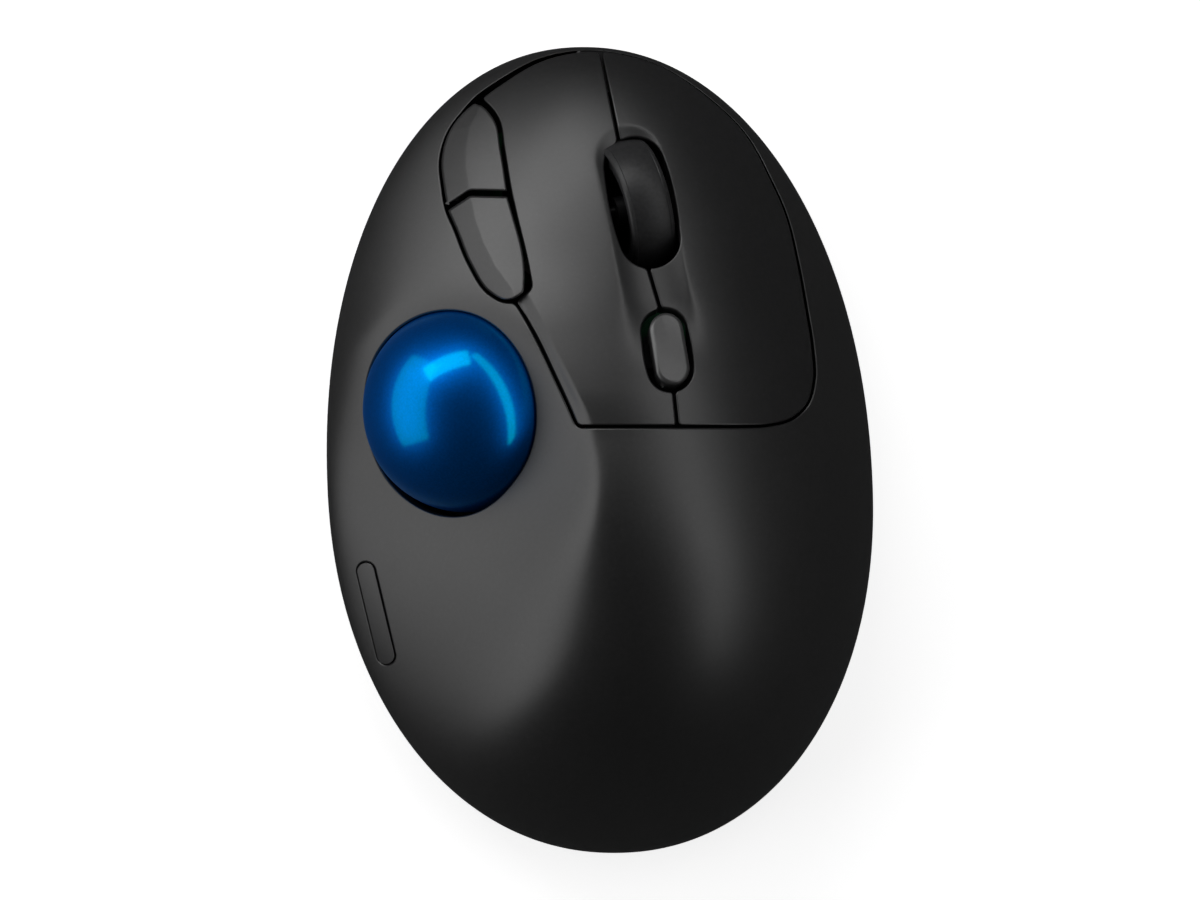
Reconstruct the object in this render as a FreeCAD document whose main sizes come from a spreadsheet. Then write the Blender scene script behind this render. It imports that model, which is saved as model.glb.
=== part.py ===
import FreeCAD, Part

import math
import os

# Thumb-operated trackball mouse, in millimetres.
# +X is the user's right, +Y the front of the mouse, +Z up. The origin is on the table,
# under the middle of the body. The casing follows one height law (skin_height), so the
# shells, keys and buttons all share the same flowing surface.

V = FreeCAD.Vector
Z_AXIS = V(0, 0, 1)

DIMENSIONS = (
    # outline seen from above
    ("half_width", 45.0),
    ("front_reach", 72.3),
    ("rear_reach", 60.7),
    ("widest_y", -5.8),
    ("outline_power", 2.1),
    ("outline_lean", 0.038),
    # heights of the casing
    ("base_bottom", 0.8),
    ("rim_height", 8.5),
    ("rim_power", 8.0),
    ("tuck_in", 4.5),
    ("parting_height", 5.5),
    ("wall", 2.0),
    ("key_wall", 1.9),
    # palm surface
    ("palm_height", 46.0),
    ("palm_x", 1.0),
    ("palm_y", -15.0),
    ("fall_right", 0.0135),
    ("fall_left", 0.009),
    ("fall_rear", 0.010),
    ("fall_front", 0.42),
    # thumb surface
    ("thumb_height", 29.0),
    ("thumb_rise_right", 0.60),
    ("thumb_rise_front", 0.26),
    ("thumb_bend_front", 0.645),
    ("thumb_bend_rear", 0.22),
    ("thumb_bend_y", 15.3),
    ("thumb_bend_width", 7.0),
    ("thumb_twist", 0.008),
    ("thumb_curl", 0.006),
    ("thumb_lift", 0.28),
    ("thumb_lift_width", 5.0),
    ("thumb_lift_end", 22.0),
    ("thumb_lift_fade", 10.0),
    # ridge where the palm and thumb surfaces meet
    ("ridge_crisp", 2.0),
    ("ridge_soft", 8.0),
    ("ridge_soft_y", -20.0),
    ("ridge_soft_width", 5.0),
    # ball
    ("ball_radius", 17.0),
    ("ball_x", -21.86),
    ("ball_y", 6.77),
    ("ball_z", 23.0),
    ("ball_tilt", 36.5),
    ("ball_azimuth", 203.0),
    ("opening_radius", 17.4),
    ("cup_inner", 17.5),
    ("cup_outer", 19.3),
    ("cup_pocket", 19.7),
    ("cup_rim_level", -1.5),
    ("pocket_top", -0.3),
    ("eject_radius", 6.5),
    ("collar_radius", 8.0),
    ("bearing_radius", 1.25),
    ("bearing_gap", 0.03),
    ("bearing_polar", 64.0),
    # keys
    ("key_gap", 0.5),
    ("key_floor", 11.5),
    ("well_floor", 10.3),
    ("button_raise", 0.8),
    ("hinge_y", 8.0),
    ("left_hinge_z", 35.4),
    ("right_hinge_z", 30.6),
    ("hinge_pin_radius", 1.0),
    ("hinge_clearance", 0.05),
    # wheel
    ("wheel_x", 5.4),
    ("wheel_y", 39.7),
    ("wheel_z", 20.8),
    ("wheel_yaw", 13.0),
    ("wheel_lean", 15.0),
    ("tyre_radius", 11.3),
    ("tyre_width", 7.4),
    ("tyre_crown", 1.6),
    ("tyre_room", 0.6),
    ("hub_radius", 9.8),
    ("hub_width", 6.4),
    ("wheel_axle_radius", 1.0),
    ("axle_clearance", 0.05),
    ("slot_length", 22.6),
    ("slot_width", 9.2),
    ("trough_depth", 1.8),
    ("trough_half", 6.2),
    ("trough_front", 52.5),
    ("trough_rear", 12.0),
    # DPI button
    ("pill_x", 11.25),
    ("pill_y", 16.3),
    ("pill_yaw", 9.2),
    ("pill_length", 11.8),
    ("pill_width", 5.5),
    ("pill_proud", 1.0),
    ("pill_gap", 0.9),
    # electronics
    ("board_bottom", 4.6),
    ("board_thick", 1.6),
    ("switch_long", 12.8),
    ("switch_wide", 5.8),
    ("switch_high", 6.5),
    ("inlet_wide", 8.94),
    ("inlet_high", 3.26),
    ("inlet_wall", 0.3),
    ("inlet_room", 0.23),
    # bridge over the boards
    ("frame_top", 28.6),
    ("frame_thick", 2.0),
    ("ear_wide", 1.6),
    ("ear_deep", 4.4),
    ("ear_drop", 1.8),
    ("lug_deep", 4.0),
    ("lug_rise", 1.5),
    ("dpi_shelf_drop", 7.45),
    # battery, receiver, screws
    ("battery_x", 12.0),
    ("battery_y", -31.0),
    ("battery_wide", 32.0),
    ("battery_long", 30.0),
    ("battery_high", 8.0),
    ("receiver_x", -15.0),
    ("receiver_y", -39.0),
    ("receiver_wide", 13.6),
    ("receiver_long", 18.6),
    ("receiver_high", 5.2),
    ("screw_radius", 1.0),
    ("screw_head", 2.0),
    ("boss_radius", 2.4),
)

# Screw positions that hold the two shells together.
SCREWS = ((-24.0, 42.0), (37.0, 10.0), (24.0, -48.5), (-29.0, -36.0))
# Rubber feet: centre x, centre y, length, width, turn in degrees.
FEET = (
    (-13.0, 50.0, 15.0, 8.0, 25.0),
    (11.0, 50.0, 14.0, 8.0, -15.0),
    (33.0, -12.0, 17.0, 8.0, 90.0),
    (-33.5, -12.0, 17.0, 8.0, 90.0),
    (2.0, -55.0, 20.0, 7.0, 0.0),
)
# Control points of the outlines, seen from above, and the seams between them.
LEFT_KEY_EDGE = (
    (0.3, 65.6), (-9.8, 64.0), (-16.0, 60.2), (-18.8, 57.2), (-17.2, 54.6), (-16.4, 49.5),
    (-15.3, 42.9), (-12.3, 29.7), (-11.8, 26.6), (-13.4, 24.4), (-10.3, 18.2), (-7.2, 11.6),
    (-4.9, 6.6), (-3.7, 3.8),
)
RIGHT_KEY_EDGE = (
    (10.0, 63.2), (18.3, 57.8), (24.1, 51.9), (28.2, 44.6), (30.7, 38.8), (32.7, 30.5),
    (34.0, 23.1), (35.0, 16.5), (35.1, 11.5), (34.0, 7.4), (31.4, 5.0), (26.6, 3.9),
)
KEY_SEAM = ((0.3, 66.5), (3.7, 51.2), (8.5, 30.0), (10.0, 23.1), (12.3, 9.4), (12.7, 3.0))
THUMB_EDGE = (
    (-20.4, 56.9), (-24.6, 52.8), (-26.2, 47.8), (-25.8, 43.0), (-25.2, 39.6), (-23.8, 36.3),
    (-21.4, 30.5), (-18.1, 25.6), (-15.6, 24.3), (-13.9, 24.6),
)
THUMB_INNER = ((-19.6, 56.4), (-18.2, 54.2), (-17.2, 49.5), (-16.1, 42.9), (-13.1, 29.7), (-12.7, 26.8))
THUMB_SPLIT = ((-26.6, 38.6), (-21.4, 42.1), (-15.6, 41.8))
# Stems under the keys and posts under the thumb buttons: x, y and the height of the foot.
LEFT_STEM = (-9.0, 49.0, 14.4)
RIGHT_STEM = (17.0, 48.0, 14.4)
FORWARD_POST = (-19.4, 47.6, 16.6)
BACK_POST = (-18.4, 33.4, 19.2)
# Left ends of the hinge ears on each key, and of the lugs on the bridge between them.
LEFT_EARS = (-2.0, 8.0)
RIGHT_EARS = (14.6, 21.4)
LEFT_LUGS = (0.2, 6.2)
RIGHT_LUGS = (16.8, 19.4)
# Screws of the main board, its front post, and the legs of the bridge over it.
BOARD_SCREWS = ((-11.0, 30.5), (21.0, 31.0))
BOARD_POST = (0.0, 59.0)
FRAME_LEGS = ((2.0, -7.0), (20.0, -7.0), (3.0, 20.5), (13.0, 20.5))
BOARD_OUTLINE = (
    (-14, 27.5), (24, 27.5), (24, 48), (16, 57), (6, 57), (6, 62.2), (-6, 62.2), (-6, 58.5),
    (-14, 57), (-14, 27.5),
)
FRAME_OUTLINE = ((-2.4, -10), (24.0, -10), (24.0, 11.0), (17.0, 23.5), (0, 23.5), (-2.4, 20.0), (-2.4, -10))
# Power slider and pairing button on the underside.
SLIDER_CORNER = (-8.0, 35.4)
PAIRING_SPOT = (8.0, 37.0)

GRID_AROUND = 96
GRID_ALONG = 44
# Height above the whole mouse, for the upper end of tools that cut through it.
SKY = 60.0

doc = FreeCAD.newDocument("trackball_mouse")
sheet = doc.addObject("Spreadsheet::Sheet", "Sizes")


def fill_sheet():
    """One row per driving dimension: its name, its value and its alias."""
    for row, (alias, number) in enumerate(DIMENSIONS, start=1):
        sheet.set("A%d" % row, alias)
        sheet.set("B%d" % row, "%g" % number)
        sheet.setAlias("B%d" % row, alias)
    doc.recompute()


fill_sheet()
SIZE = {alias: float(sheet.get(alias)) for alias, _ in DIMENSIONS}
FLOOR_TOP = SIZE["base_bottom"] + SIZE["wall"]
BOARD_TOP = SIZE["board_bottom"] + SIZE["board_thick"]


# ---------------------------------------------------------------- the casing's height law
def ramp(distance, width):
    """Smooth version of max(distance, 0)."""
    return (distance + math.hypot(distance, width)) / 2


def palm_surface(x, y):
    """Dome under the palm: parabolas to the sides and rear, a long slope to the front."""
    across = x - SIZE["palm_x"]
    along = y - SIZE["palm_y"]
    side = SIZE["fall_right"] if across > 0 else SIZE["fall_left"]
    if along < 0:
        fall = SIZE["fall_rear"] * along ** 2
    else:
        knee = SIZE["fall_front"] / (2 * SIZE["fall_rear"])
        fall = SIZE["fall_front"] * (math.hypot(along, knee) - knee)
    return SIZE["palm_height"] - side * across ** 2 - fall


def thumb_surface(x, y):
    """Slope that the thumb and the ball sit on, leaning to the left."""
    across = x - SIZE["ball_x"]
    along = y - SIZE["ball_y"]
    bend = SIZE["thumb_bend_y"]
    width = SIZE["thumb_bend_width"]
    level = SIZE["thumb_height"] + SIZE["thumb_rise_right"] * across + SIZE["thumb_rise_front"] * along
    level -= SIZE["thumb_bend_front"] * ramp(along - bend, width)
    level += SIZE["thumb_bend_rear"] * ramp(-along - bend, width)
    lift = ramp(-y, SIZE["thumb_lift_width"]) - ramp(-y - SIZE["thumb_lift_end"], SIZE["thumb_lift_fade"])
    level += SIZE["thumb_lift"] * lift
    return level - SIZE["thumb_twist"] * across * along + SIZE["thumb_curl"] * across ** 2


def outline_gauge(x, y):
    """0 at the widest line's centre and 1 on the outline."""
    along = y - SIZE["widest_y"]
    reach = SIZE["front_reach"] if along > 0 else SIZE["rear_reach"]
    across = x + SIZE["outline_lean"] * along
    power = SIZE["outline_power"]
    total = (abs(across) / SIZE["half_width"]) ** power + (abs(along) / reach) ** power
    return total ** (1 / power)


def smooth_step(value):
    """0 below 0, 1 above 1, smooth between."""
    value = min(max(value, 0.0), 1.0)
    return value * value * (3 - 2 * value)


def wheel_trough(x, y):
    """Depth of the shallow groove that the wheel sits in."""
    yaw = math.radians(SIZE["wheel_yaw"])
    across = (x - SIZE["wheel_x"] - 1.6) * math.cos(yaw) + (y - SIZE["wheel_y"]) * math.sin(yaw)
    ratio = min(abs(across) / SIZE["trough_half"], 1.0)
    front = smooth_step((SIZE["trough_front"] - y) / 6)
    rear = smooth_step((y - SIZE["trough_rear"]) / 18)
    return SIZE["trough_depth"] * (1 - ratio ** 2) ** 2 * front * rear


def skin_height(x, y):
    """Height of the casing's outer surface above the table, inside the outline."""
    palm = palm_surface(x, y)
    thumb = thumb_surface(x, y)
    soften = 1 + math.exp((y - SIZE["ridge_soft_y"]) / SIZE["ridge_soft_width"])
    blend = SIZE["ridge_crisp"] + SIZE["ridge_soft"] / soften
    top = (palm + thumb - math.hypot(palm - thumb, blend)) / 2
    gauge = min(outline_gauge(x, y), 1.0)
    edge = math.sqrt(max(0.0, 1 - gauge ** SIZE["rim_power"]))
    return SIZE["rim_height"] + (top - SIZE["rim_height"]) * edge - wheel_trough(x, y) * edge


def slope_normal(x, y):
    """Unit normal of the casing at a point of the plan."""
    step = 0.5
    rise_x = (skin_height(x + step, y) - skin_height(x - step, y)) / (2 * step)
    rise_y = (skin_height(x, y + step) - skin_height(x, y - step)) / (2 * step)
    return V(-rise_x, -rise_y, 1).normalize()


# ---------------------------------------------------------------- solids from the law
def outline_distance(angle):
    """Distance from the ball's upright axis to the outline in one direction."""
    near, far = 5.0, 120.0
    for _ in range(50):
        middle = (near + far) / 2
        x = SIZE["ball_x"] + middle * math.cos(angle)
        y = SIZE["ball_y"] + middle * math.sin(angle)
        if outline_gauge(x, y) < 1:
            near = middle
        else:
            far = middle
    return near


def ray_profile(angle, start):
    """Evenly spaced (distance, height) points from the ball's axis over the rim to the base."""
    reach = outline_distance(angle)
    samples = 240
    points = []
    for i in range(samples):
        distance = reach - (reach - start) * (1 - i / samples) ** 2
        x = SIZE["ball_x"] + distance * math.cos(angle)
        y = SIZE["ball_y"] + distance * math.sin(angle)
        points.append((distance, skin_height(x, y)))
    drop = SIZE["rim_height"] - SIZE["base_bottom"]
    for i in range(61):
        turn = math.pi / 2 * i / 60
        distance = reach - SIZE["tuck_in"] * (1 - math.cos(turn))
        points.append((distance, SIZE["rim_height"] - drop * math.sin(turn)))
    lengths = [0.0]
    for (r0, z0), (r1, z1) in zip(points, points[1:]):
        lengths.append(lengths[-1] + math.hypot(r1 - r0, z1 - z0))
    profile = []
    k = 0
    for j in range(GRID_ALONG):
        target = lengths[-1] * j / (GRID_ALONG - 1)
        while k < len(lengths) - 2 and lengths[k + 1] < target:
            k += 1
        part = (target - lengths[k]) / (lengths[k + 1] - lengths[k])
        (r0, z0), (r1, z1) = points[k], points[k + 1]
        profile.append((r0 + part * (r1 - r0), z0 + part * (z1 - z0)))
    return profile


def pole_grid(start, depth):
    """Control points of the skin, moved inwards by depth along the surface normal."""
    grid = []
    for i in range(GRID_AROUND):
        angle = 2 * math.pi * i / GRID_AROUND
        row = []
        for distance, height in ray_profile(angle, start):
            x = SIZE["ball_x"] + distance * math.cos(angle)
            y = SIZE["ball_y"] + distance * math.sin(angle)
            row.append(V(x, y, height))
        grid.append(row)
    if not depth:
        return grid
    last = GRID_ALONG - 1
    moved = []
    for i in range(GRID_AROUND):
        row = []
        for j in range(GRID_ALONG):
            around = grid[(i + 1) % GRID_AROUND][j] - grid[i - 1][j]
            along = grid[i][min(j + 1, last)] - grid[i][max(j - 1, 0)]
            inward = around.cross(along).normalize()
            if j == last:
                inward = Z_AXIS
            row.append(grid[i][j] + inward * depth)
        moved.append(row)
    return moved


def spline_face(rows, cross_degree):
    """Face that closes on itself around the body, from a grid of control points."""
    around = len(rows)
    along = len(rows[0])
    around_knots = [float(k) for k in range(around + 1)]
    spans = along - cross_degree
    along_knots = [float(k) for k in range(spans + 1)]
    along_mults = [cross_degree + 1] + [1] * (spans - 1) + [cross_degree + 1]
    surface = Part.BSplineSurface()
    surface.buildFromPolesMultsKnots(rows, [1] * (around + 1), along_mults, around_knots,
                                     along_knots, True, False, 3, cross_degree)
    return surface.toShape()


def flat_rim(face, height):
    """The closed edge of a face that lies at one height."""
    for edge in face.Edges:
        box = edge.BoundBox
        if edge.isClosed() and abs(box.ZMax - height) < 1e-3 and abs(box.ZMin - height) < 1e-3:
            return edge
    raise ValueError("no flat rim")


def casing_block(start, depth):
    """Solid under the skin, with an upright hole of radius start at the ball's axis."""
    rows = pole_grid(start, depth)
    floor = rows[0][-1].z
    skin = spline_face(rows, 3)
    bore = spline_face([[row[0], V(row[0].x, row[0].y, floor)] for row in rows], 1)
    rims = [Part.Wire([flat_rim(skin, floor)]), Part.Wire([flat_rim(bore, floor)])]
    bottom = Part.makeFace(rims, "Part::FaceMakerBullseye")
    sewn = Part.Compound([skin, bore, bottom])
    sewn.sewShape(1e-3)
    shell = sewn.Shells[0]
    if Part.makeSolid(shell).Volume < 0:
        shell.reverse()
    return Part.makeSolid(shell)


def curve_through(points):
    """Smooth open edge through points."""
    spline = Part.BSplineCurve()
    spline.interpolate([V(x, y, 0) for x, y in points])
    return spline.toShape()


def prism(wire, low, high):
    """Upright prism on a closed flat wire."""
    base = wire.copy()
    base.translate(V(0, 0, low))
    return Part.Face(base).extrude(V(0, 0, high - low))


def pill_wire(length, width):
    """Round-ended slot outline about the origin, its length along Y."""
    radius = width / 2
    straight = length / 2 - radius
    right = Part.LineSegment(V(radius, -straight, 0), V(radius, straight, 0))
    front = Part.Arc(V(radius, straight, 0), V(0, straight + radius, 0), V(-radius, straight, 0))
    left = Part.LineSegment(V(-radius, straight, 0), V(-radius, -straight, 0))
    rear = Part.Arc(V(-radius, -straight, 0), V(0, -straight - radius, 0), V(radius, -straight, 0))
    return Part.Wire([piece.toShape() for piece in (right, front, left, rear)])


def pill_prism(length, width, low, high, place):
    """Round-ended bar between two heights of its own frame, moved to place."""
    solid = prism(pill_wire(length, width), low, high)
    solid.Placement = place
    return solid


# ---------------------------------------------------------------- frames
BALL_CENTRE = V(SIZE["ball_x"], SIZE["ball_y"], SIZE["ball_z"])
TILT = math.radians(SIZE["ball_tilt"])
AZIMUTH = math.radians(SIZE["ball_azimuth"])
BALL_AXIS = V(math.sin(TILT) * math.cos(AZIMUTH), math.sin(TILT) * math.sin(AZIMUTH), math.cos(TILT))
BALL_FRAME = FreeCAD.Placement(
    BALL_CENTRE,
    FreeCAD.Rotation(Z_AXIS, SIZE["ball_azimuth"]) * FreeCAD.Rotation(V(0, 1, 0), SIZE["ball_tilt"]))
WHEEL_CENTRE = V(SIZE["wheel_x"], SIZE["wheel_y"], SIZE["wheel_z"])
WHEEL_FRAME = FreeCAD.Placement(
    WHEEL_CENTRE,
    FreeCAD.Rotation(Z_AXIS, SIZE["wheel_yaw"]) * FreeCAD.Rotation(V(0, 1, 0), SIZE["wheel_lean"]))
PILL_POINT = V(SIZE["pill_x"], SIZE["pill_y"], skin_height(SIZE["pill_x"], SIZE["pill_y"]))
PILL_NORMAL = slope_normal(SIZE["pill_x"], SIZE["pill_y"])
PILL_FRAME = FreeCAD.Placement(
    PILL_POINT, FreeCAD.Rotation(Z_AXIS, PILL_NORMAL) * FreeCAD.Rotation(Z_AXIS, SIZE["pill_yaw"]))
# Posts of the cup stand on a circle about the ball's upright axis.
CUP_POST_RING = 12.5
CUP_POSTS = tuple(
    (SIZE["ball_x"] + CUP_POST_RING * math.cos(math.radians(a)),
     SIZE["ball_y"] + CUP_POST_RING * math.sin(math.radians(a)))
    for a in (150, 270, 50))
# The sensor looks at the ball from its lower right side.
SENSOR_FRAME = FreeCAD.Placement(BALL_CENTRE, FreeCAD.Rotation(V(0, 1, 0), 118.1))
# Smoky window on the left rim: centre, turn, length and width seen from above.
WINDOW_FRAME = FreeCAD.Placement(V(-36.9, -26.9, 0), FreeCAD.Rotation(Z_AXIS, 13.4))
WINDOW_LENGTH = 17.2
WINDOW_WIDTH = 3.0
WINDOW_FOOT = 6.6
# The charging inlet lies on the main board and faces forward.
INLET_HEIGHT = BOARD_TOP + SIZE["inlet_high"] / 2
FACING_FRONT = FreeCAD.Rotation(V(-1, 0, 0), 90) * FreeCAD.Rotation(Z_AXIS, 90)


# ---------------------------------------------------------------- document helpers
NODES = []


def keep(item, label):
    """Give a finished sub-part its node name."""
    item.Label = label
    NODES.append(item)
    return item


def solid_node(label, shape, place=None):
    """Sub-part whose freeform shape is worked out above."""
    item = doc.addObject("Part::Feature", label)
    item.Shape = shape
    if place:
        item.Placement = place
    return keep(item, label)


def bind(item, sizes):
    """Bind properties to sheet expressions; plain numbers are set as they are."""
    for name, size in sizes.items():
        if isinstance(size, str):
            item.setExpression(name, size)
        else:
            setattr(item, name, size)
    return item


def block(name, length, width, height, corner):
    """Box whose sizes may be expressions, with its lowest corner at corner."""
    item = doc.addObject("Part::Box", name)
    item.Placement.Base = V(*corner)
    return bind(item, {"Length": length, "Width": width, "Height": height})


def centred_block(name, length, width, height, centre, low):
    """Upright box centred on a point of the plan, standing at height low."""
    item = block(name, length, width, height, (0, 0, 0))
    doc.recompute()
    item.Placement.Base = V(centre[0] - item.Length.Value / 2, centre[1] - item.Width.Value / 2, low)
    return item


def cylinder(name, radius, height, base, direction=Z_AXIS):
    """Cylinder from base along direction."""
    item = doc.addObject("Part::Cylinder", name)
    item.Placement = FreeCAD.Placement(V(*base), FreeCAD.Rotation(Z_AXIS, direction))
    return bind(item, {"Radius": radius, "Height": height})


def sphere(name, radius, centre=(0, 0, 0)):
    """Sphere about centre."""
    item = doc.addObject("Part::Sphere", name)
    item.Placement.Base = V(*centre)
    return bind(item, {"Radius": radius})


def fuse(name, items):
    """Union of several objects."""
    item = doc.addObject("Part::MultiFuse", name)
    item.Shapes = items
    return item


def cut(name, base, items):
    """Base without the tools."""
    tool = items[0] if len(items) == 1 else fuse(name + "_tools", items)
    item = doc.addObject("Part::Cut", name)
    item.Base = base
    item.Tool = tool
    return item


def group(name, items):
    """Separate solids kept together in one node."""
    item = doc.addObject("Part::Compound", name)
    item.Links = items
    return item


# ---------------------------------------------------------------- casing, keys and buttons
def side_of_seam(points, far_x):
    """Region between an open line across the body and a far upright edge."""
    line = curve_through(points)
    first, last = points[0], points[-1]
    corners = [V(last[0], last[1], 0), V(far_x, last[1], 0), V(far_x, first[1], 0), V(first[0], first[1], 0)]
    edges = [Part.LineSegment(a, b).toShape() for a, b in zip(corners, corners[1:])]
    return Part.Wire(Part.__sortEdges__([line] + edges))


def outline_from(parts):
    """Closed wire through several smooth stretches, joined by straight edges."""
    edges = []
    for points, following in zip(parts, parts[1:] + parts[:1]):
        if len(points) > 2:
            edges.append(curve_through(points))
        elif len(points) == 2:
            edges.append(Part.LineSegment(V(*points[0], 0), V(*points[1], 0)).toShape())
        end, start = V(*points[-1], 0), V(*following[0], 0)
        if end.distanceToPoint(start) > 1e-6:
            edges.append(Part.LineSegment(end, start).toShape())
    return Part.Wire(Part.__sortEdges__(edges))


def grow_wire(wire, margin):
    """Flat wire scaled about its middle so that it grows by margin on each side."""
    box = wire.BoundBox
    grow = FreeCAD.Matrix()
    grow.move(-box.Center)
    grow.scale(1 + 2 * margin / box.XLength, 1 + 2 * margin / box.YLength, 1)
    grow.move(box.Center)
    return wire.transformGeometry(grow)


def key_outlines():
    """Plan outlines of both keys together, and of the thumb buttons together."""
    keys = outline_from([LEFT_KEY_EDGE[:3], LEFT_KEY_EDGE[2:4], LEFT_KEY_EDGE[3:9], LEFT_KEY_EDGE[8:10],
                         LEFT_KEY_EDGE[9:], tuple(reversed(RIGHT_KEY_EDGE))])
    thumb = outline_from([THUMB_EDGE, tuple(reversed(THUMB_INNER))])
    return keys, thumb


def skin_layers():
    """The outer block, and the same block inside the shell wall and inside the key wall."""
    outer = casing_block(SIZE["eject_radius"], 0)
    inner = casing_block(SIZE["collar_radius"], SIZE["wall"])
    key_inner = casing_block(SIZE["collar_radius"], SIZE["key_wall"])
    return outer, inner, key_inner


def ball_opening():
    """Space in the upper shell for the ball and its cup."""
    pocket = Part.makeSphere(SIZE["cup_pocket"], BALL_CENTRE)
    above = Part.makeCylinder(25.0, 40.0, BALL_CENTRE + BALL_AXIS * SIZE["pocket_top"], BALL_AXIS)
    bore_foot = BALL_CENTRE + BALL_AXIS * (SIZE["pocket_top"] - 1.5)
    bore = Part.makeCylinder(SIZE["opening_radius"], 32.0, bore_foot, BALL_AXIS)
    collar = Part.makeCylinder(SIZE["collar_radius"] + 1, 60.0, V(SIZE["ball_x"], SIZE["ball_y"], 0))
    return pocket.cut(above).fuse(bore).fuse(collar)


def raised_patch(low_offset, high_offset, x_range, y_range):
    """Slab that follows the skin between two upright offsets, over a rectangle of the plan."""
    count = 25
    rows = []
    for i in range(count):
        x = x_range[0] + (x_range[1] - x_range[0]) * i / (count - 1)
        row = []
        for j in range(count):
            y = y_range[0] + (y_range[1] - y_range[0]) * j / (count - 1)
            row.append(V(x, y, skin_height(x, y) + low_offset))
        rows.append(row)
    surface = Part.BSplineSurface()
    surface.interpolate(rows)
    return surface.toShape().extrude(V(0, 0, high_offset - low_offset))


def left_of_seam(low, high):
    """Everything on the left key's side of the seam, half a gap short of it."""
    region = side_of_seam(KEY_SEAM, -80.0)
    solid = prism(region, low, high)
    solid.translate(V(-SIZE["key_gap"] / 2, 0, 0))
    return solid


def right_of_seam(low, high):
    """Everything on the right key's side of the seam, half a gap short of it."""
    region = side_of_seam(KEY_SEAM, 80.0)
    solid = prism(region, low, high)
    solid.translate(V(SIZE["key_gap"] / 2, 0, 0))
    return solid


def wheel_slot():
    """Opening for the wheel through both keys, square to the wheel."""
    place = WHEEL_FRAME.copy()
    return pill_prism(SIZE["slot_length"], SIZE["slot_width"], 0, 20, place)


def wheel_room():
    """Space that the keys leave around the tyre, down inside the slot."""
    room = SIZE["tyre_room"]
    half = SIZE["tyre_width"] / 2 + 0.5
    space = Part.makeCylinder(SIZE["tyre_radius"] + room, 2 * half, V(-half, 0, 0), V(1, 0, 0))
    rims = [edge for edge in space.Edges if edge.isClosed()]
    space = space.makeFillet(SIZE["tyre_crown"], rims)
    space.Placement = WHEEL_FRAME
    return space


def pill_hole(extra):
    """Opening for the DPI button, wider than the button by extra all round."""
    return pill_prism(SIZE["pill_length"] + 2 * extra, SIZE["pill_width"] + 2 * extra, -8, 8, PILL_FRAME)


def stem(x, y, radius, foot, top):
    """Post under a key, from its foot up into the key wall."""
    return Part.makeCylinder(radius, top - foot, V(x, y, foot))


def under_key(x, y):
    """Height just inside the key wall at a point of the plan."""
    return skin_height(x, y) - 1.2


def hinge_ear(x, height):
    """Plate with a pin hole that hangs from the key."""
    y = SIZE["hinge_y"]
    width = SIZE["ear_wide"]
    deep = SIZE["ear_deep"]
    top = min(under_key(x, y), under_key(x + width, y)) - 0.3
    low = height - SIZE["ear_drop"]
    ear = Part.makeBox(width, deep, top - low, V(x, y - deep / 2, low))
    hole_radius = SIZE["hinge_pin_radius"] + SIZE["hinge_clearance"]
    return ear.cut(Part.makeCylinder(hole_radius, width + 2, V(x - 1, y, height), V(1, 0, 0)))


def make_key(layer, outline, side, stem_at, ears, height):
    """Main button: a piece of skin with its switch stem and two hinge ears."""
    body = prism(grow_wire(outline, -SIZE["key_gap"] / 2), SIZE["key_floor"], SKY)
    key = layer.common(body).common(side)
    key = key.cut(wheel_slot()).cut(wheel_room()).cut(pill_hole(SIZE["pill_gap"]))
    key = max(key.Solids, key=lambda part: part.Volume)
    x, y, foot = stem_at
    key = key.fuse(stem(x, y, 1.6, foot, under_key(x, y)))
    for ear_x in ears:
        key = key.fuse(hinge_ear(ear_x, height))
    return key


def make_thumb_button(outline, side, post_at):
    """Thumb button: a raised cap over the ridge with a post towards its switch."""
    cap = raised_patch(-1.9, SIZE["button_raise"], (-29.0, -8.0), (20.0, 61.0))
    body = prism(grow_wire(outline, -0.35), 5, SKY)
    button = cap.common(body).common(side)
    button = max(button.Solids, key=lambda part: part.Volume)
    x, y, foot = post_at
    return button.fuse(stem(x, y, 1.2, foot, under_key(x, y)))


def well(outline, low):
    """Space cut from the upper shell for buttons of one outline."""
    return prism(grow_wire(outline, SIZE["key_gap"] / 2), low, SKY)


def boss(x, y, low, high):
    """Round screw post."""
    return Part.makeCylinder(SIZE["boss_radius"], high - low, V(x, y, low))


def inlet_cut():
    """Round-ended hole in the front wall for the charging plug."""
    room = 2 * SIZE["inlet_room"]
    place = FreeCAD.Placement(V(0, 60, INLET_HEIGHT), FACING_FRONT)
    return pill_prism(SIZE["inlet_wide"] + room, SIZE["inlet_high"] + room, 0, 10, place)


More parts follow.
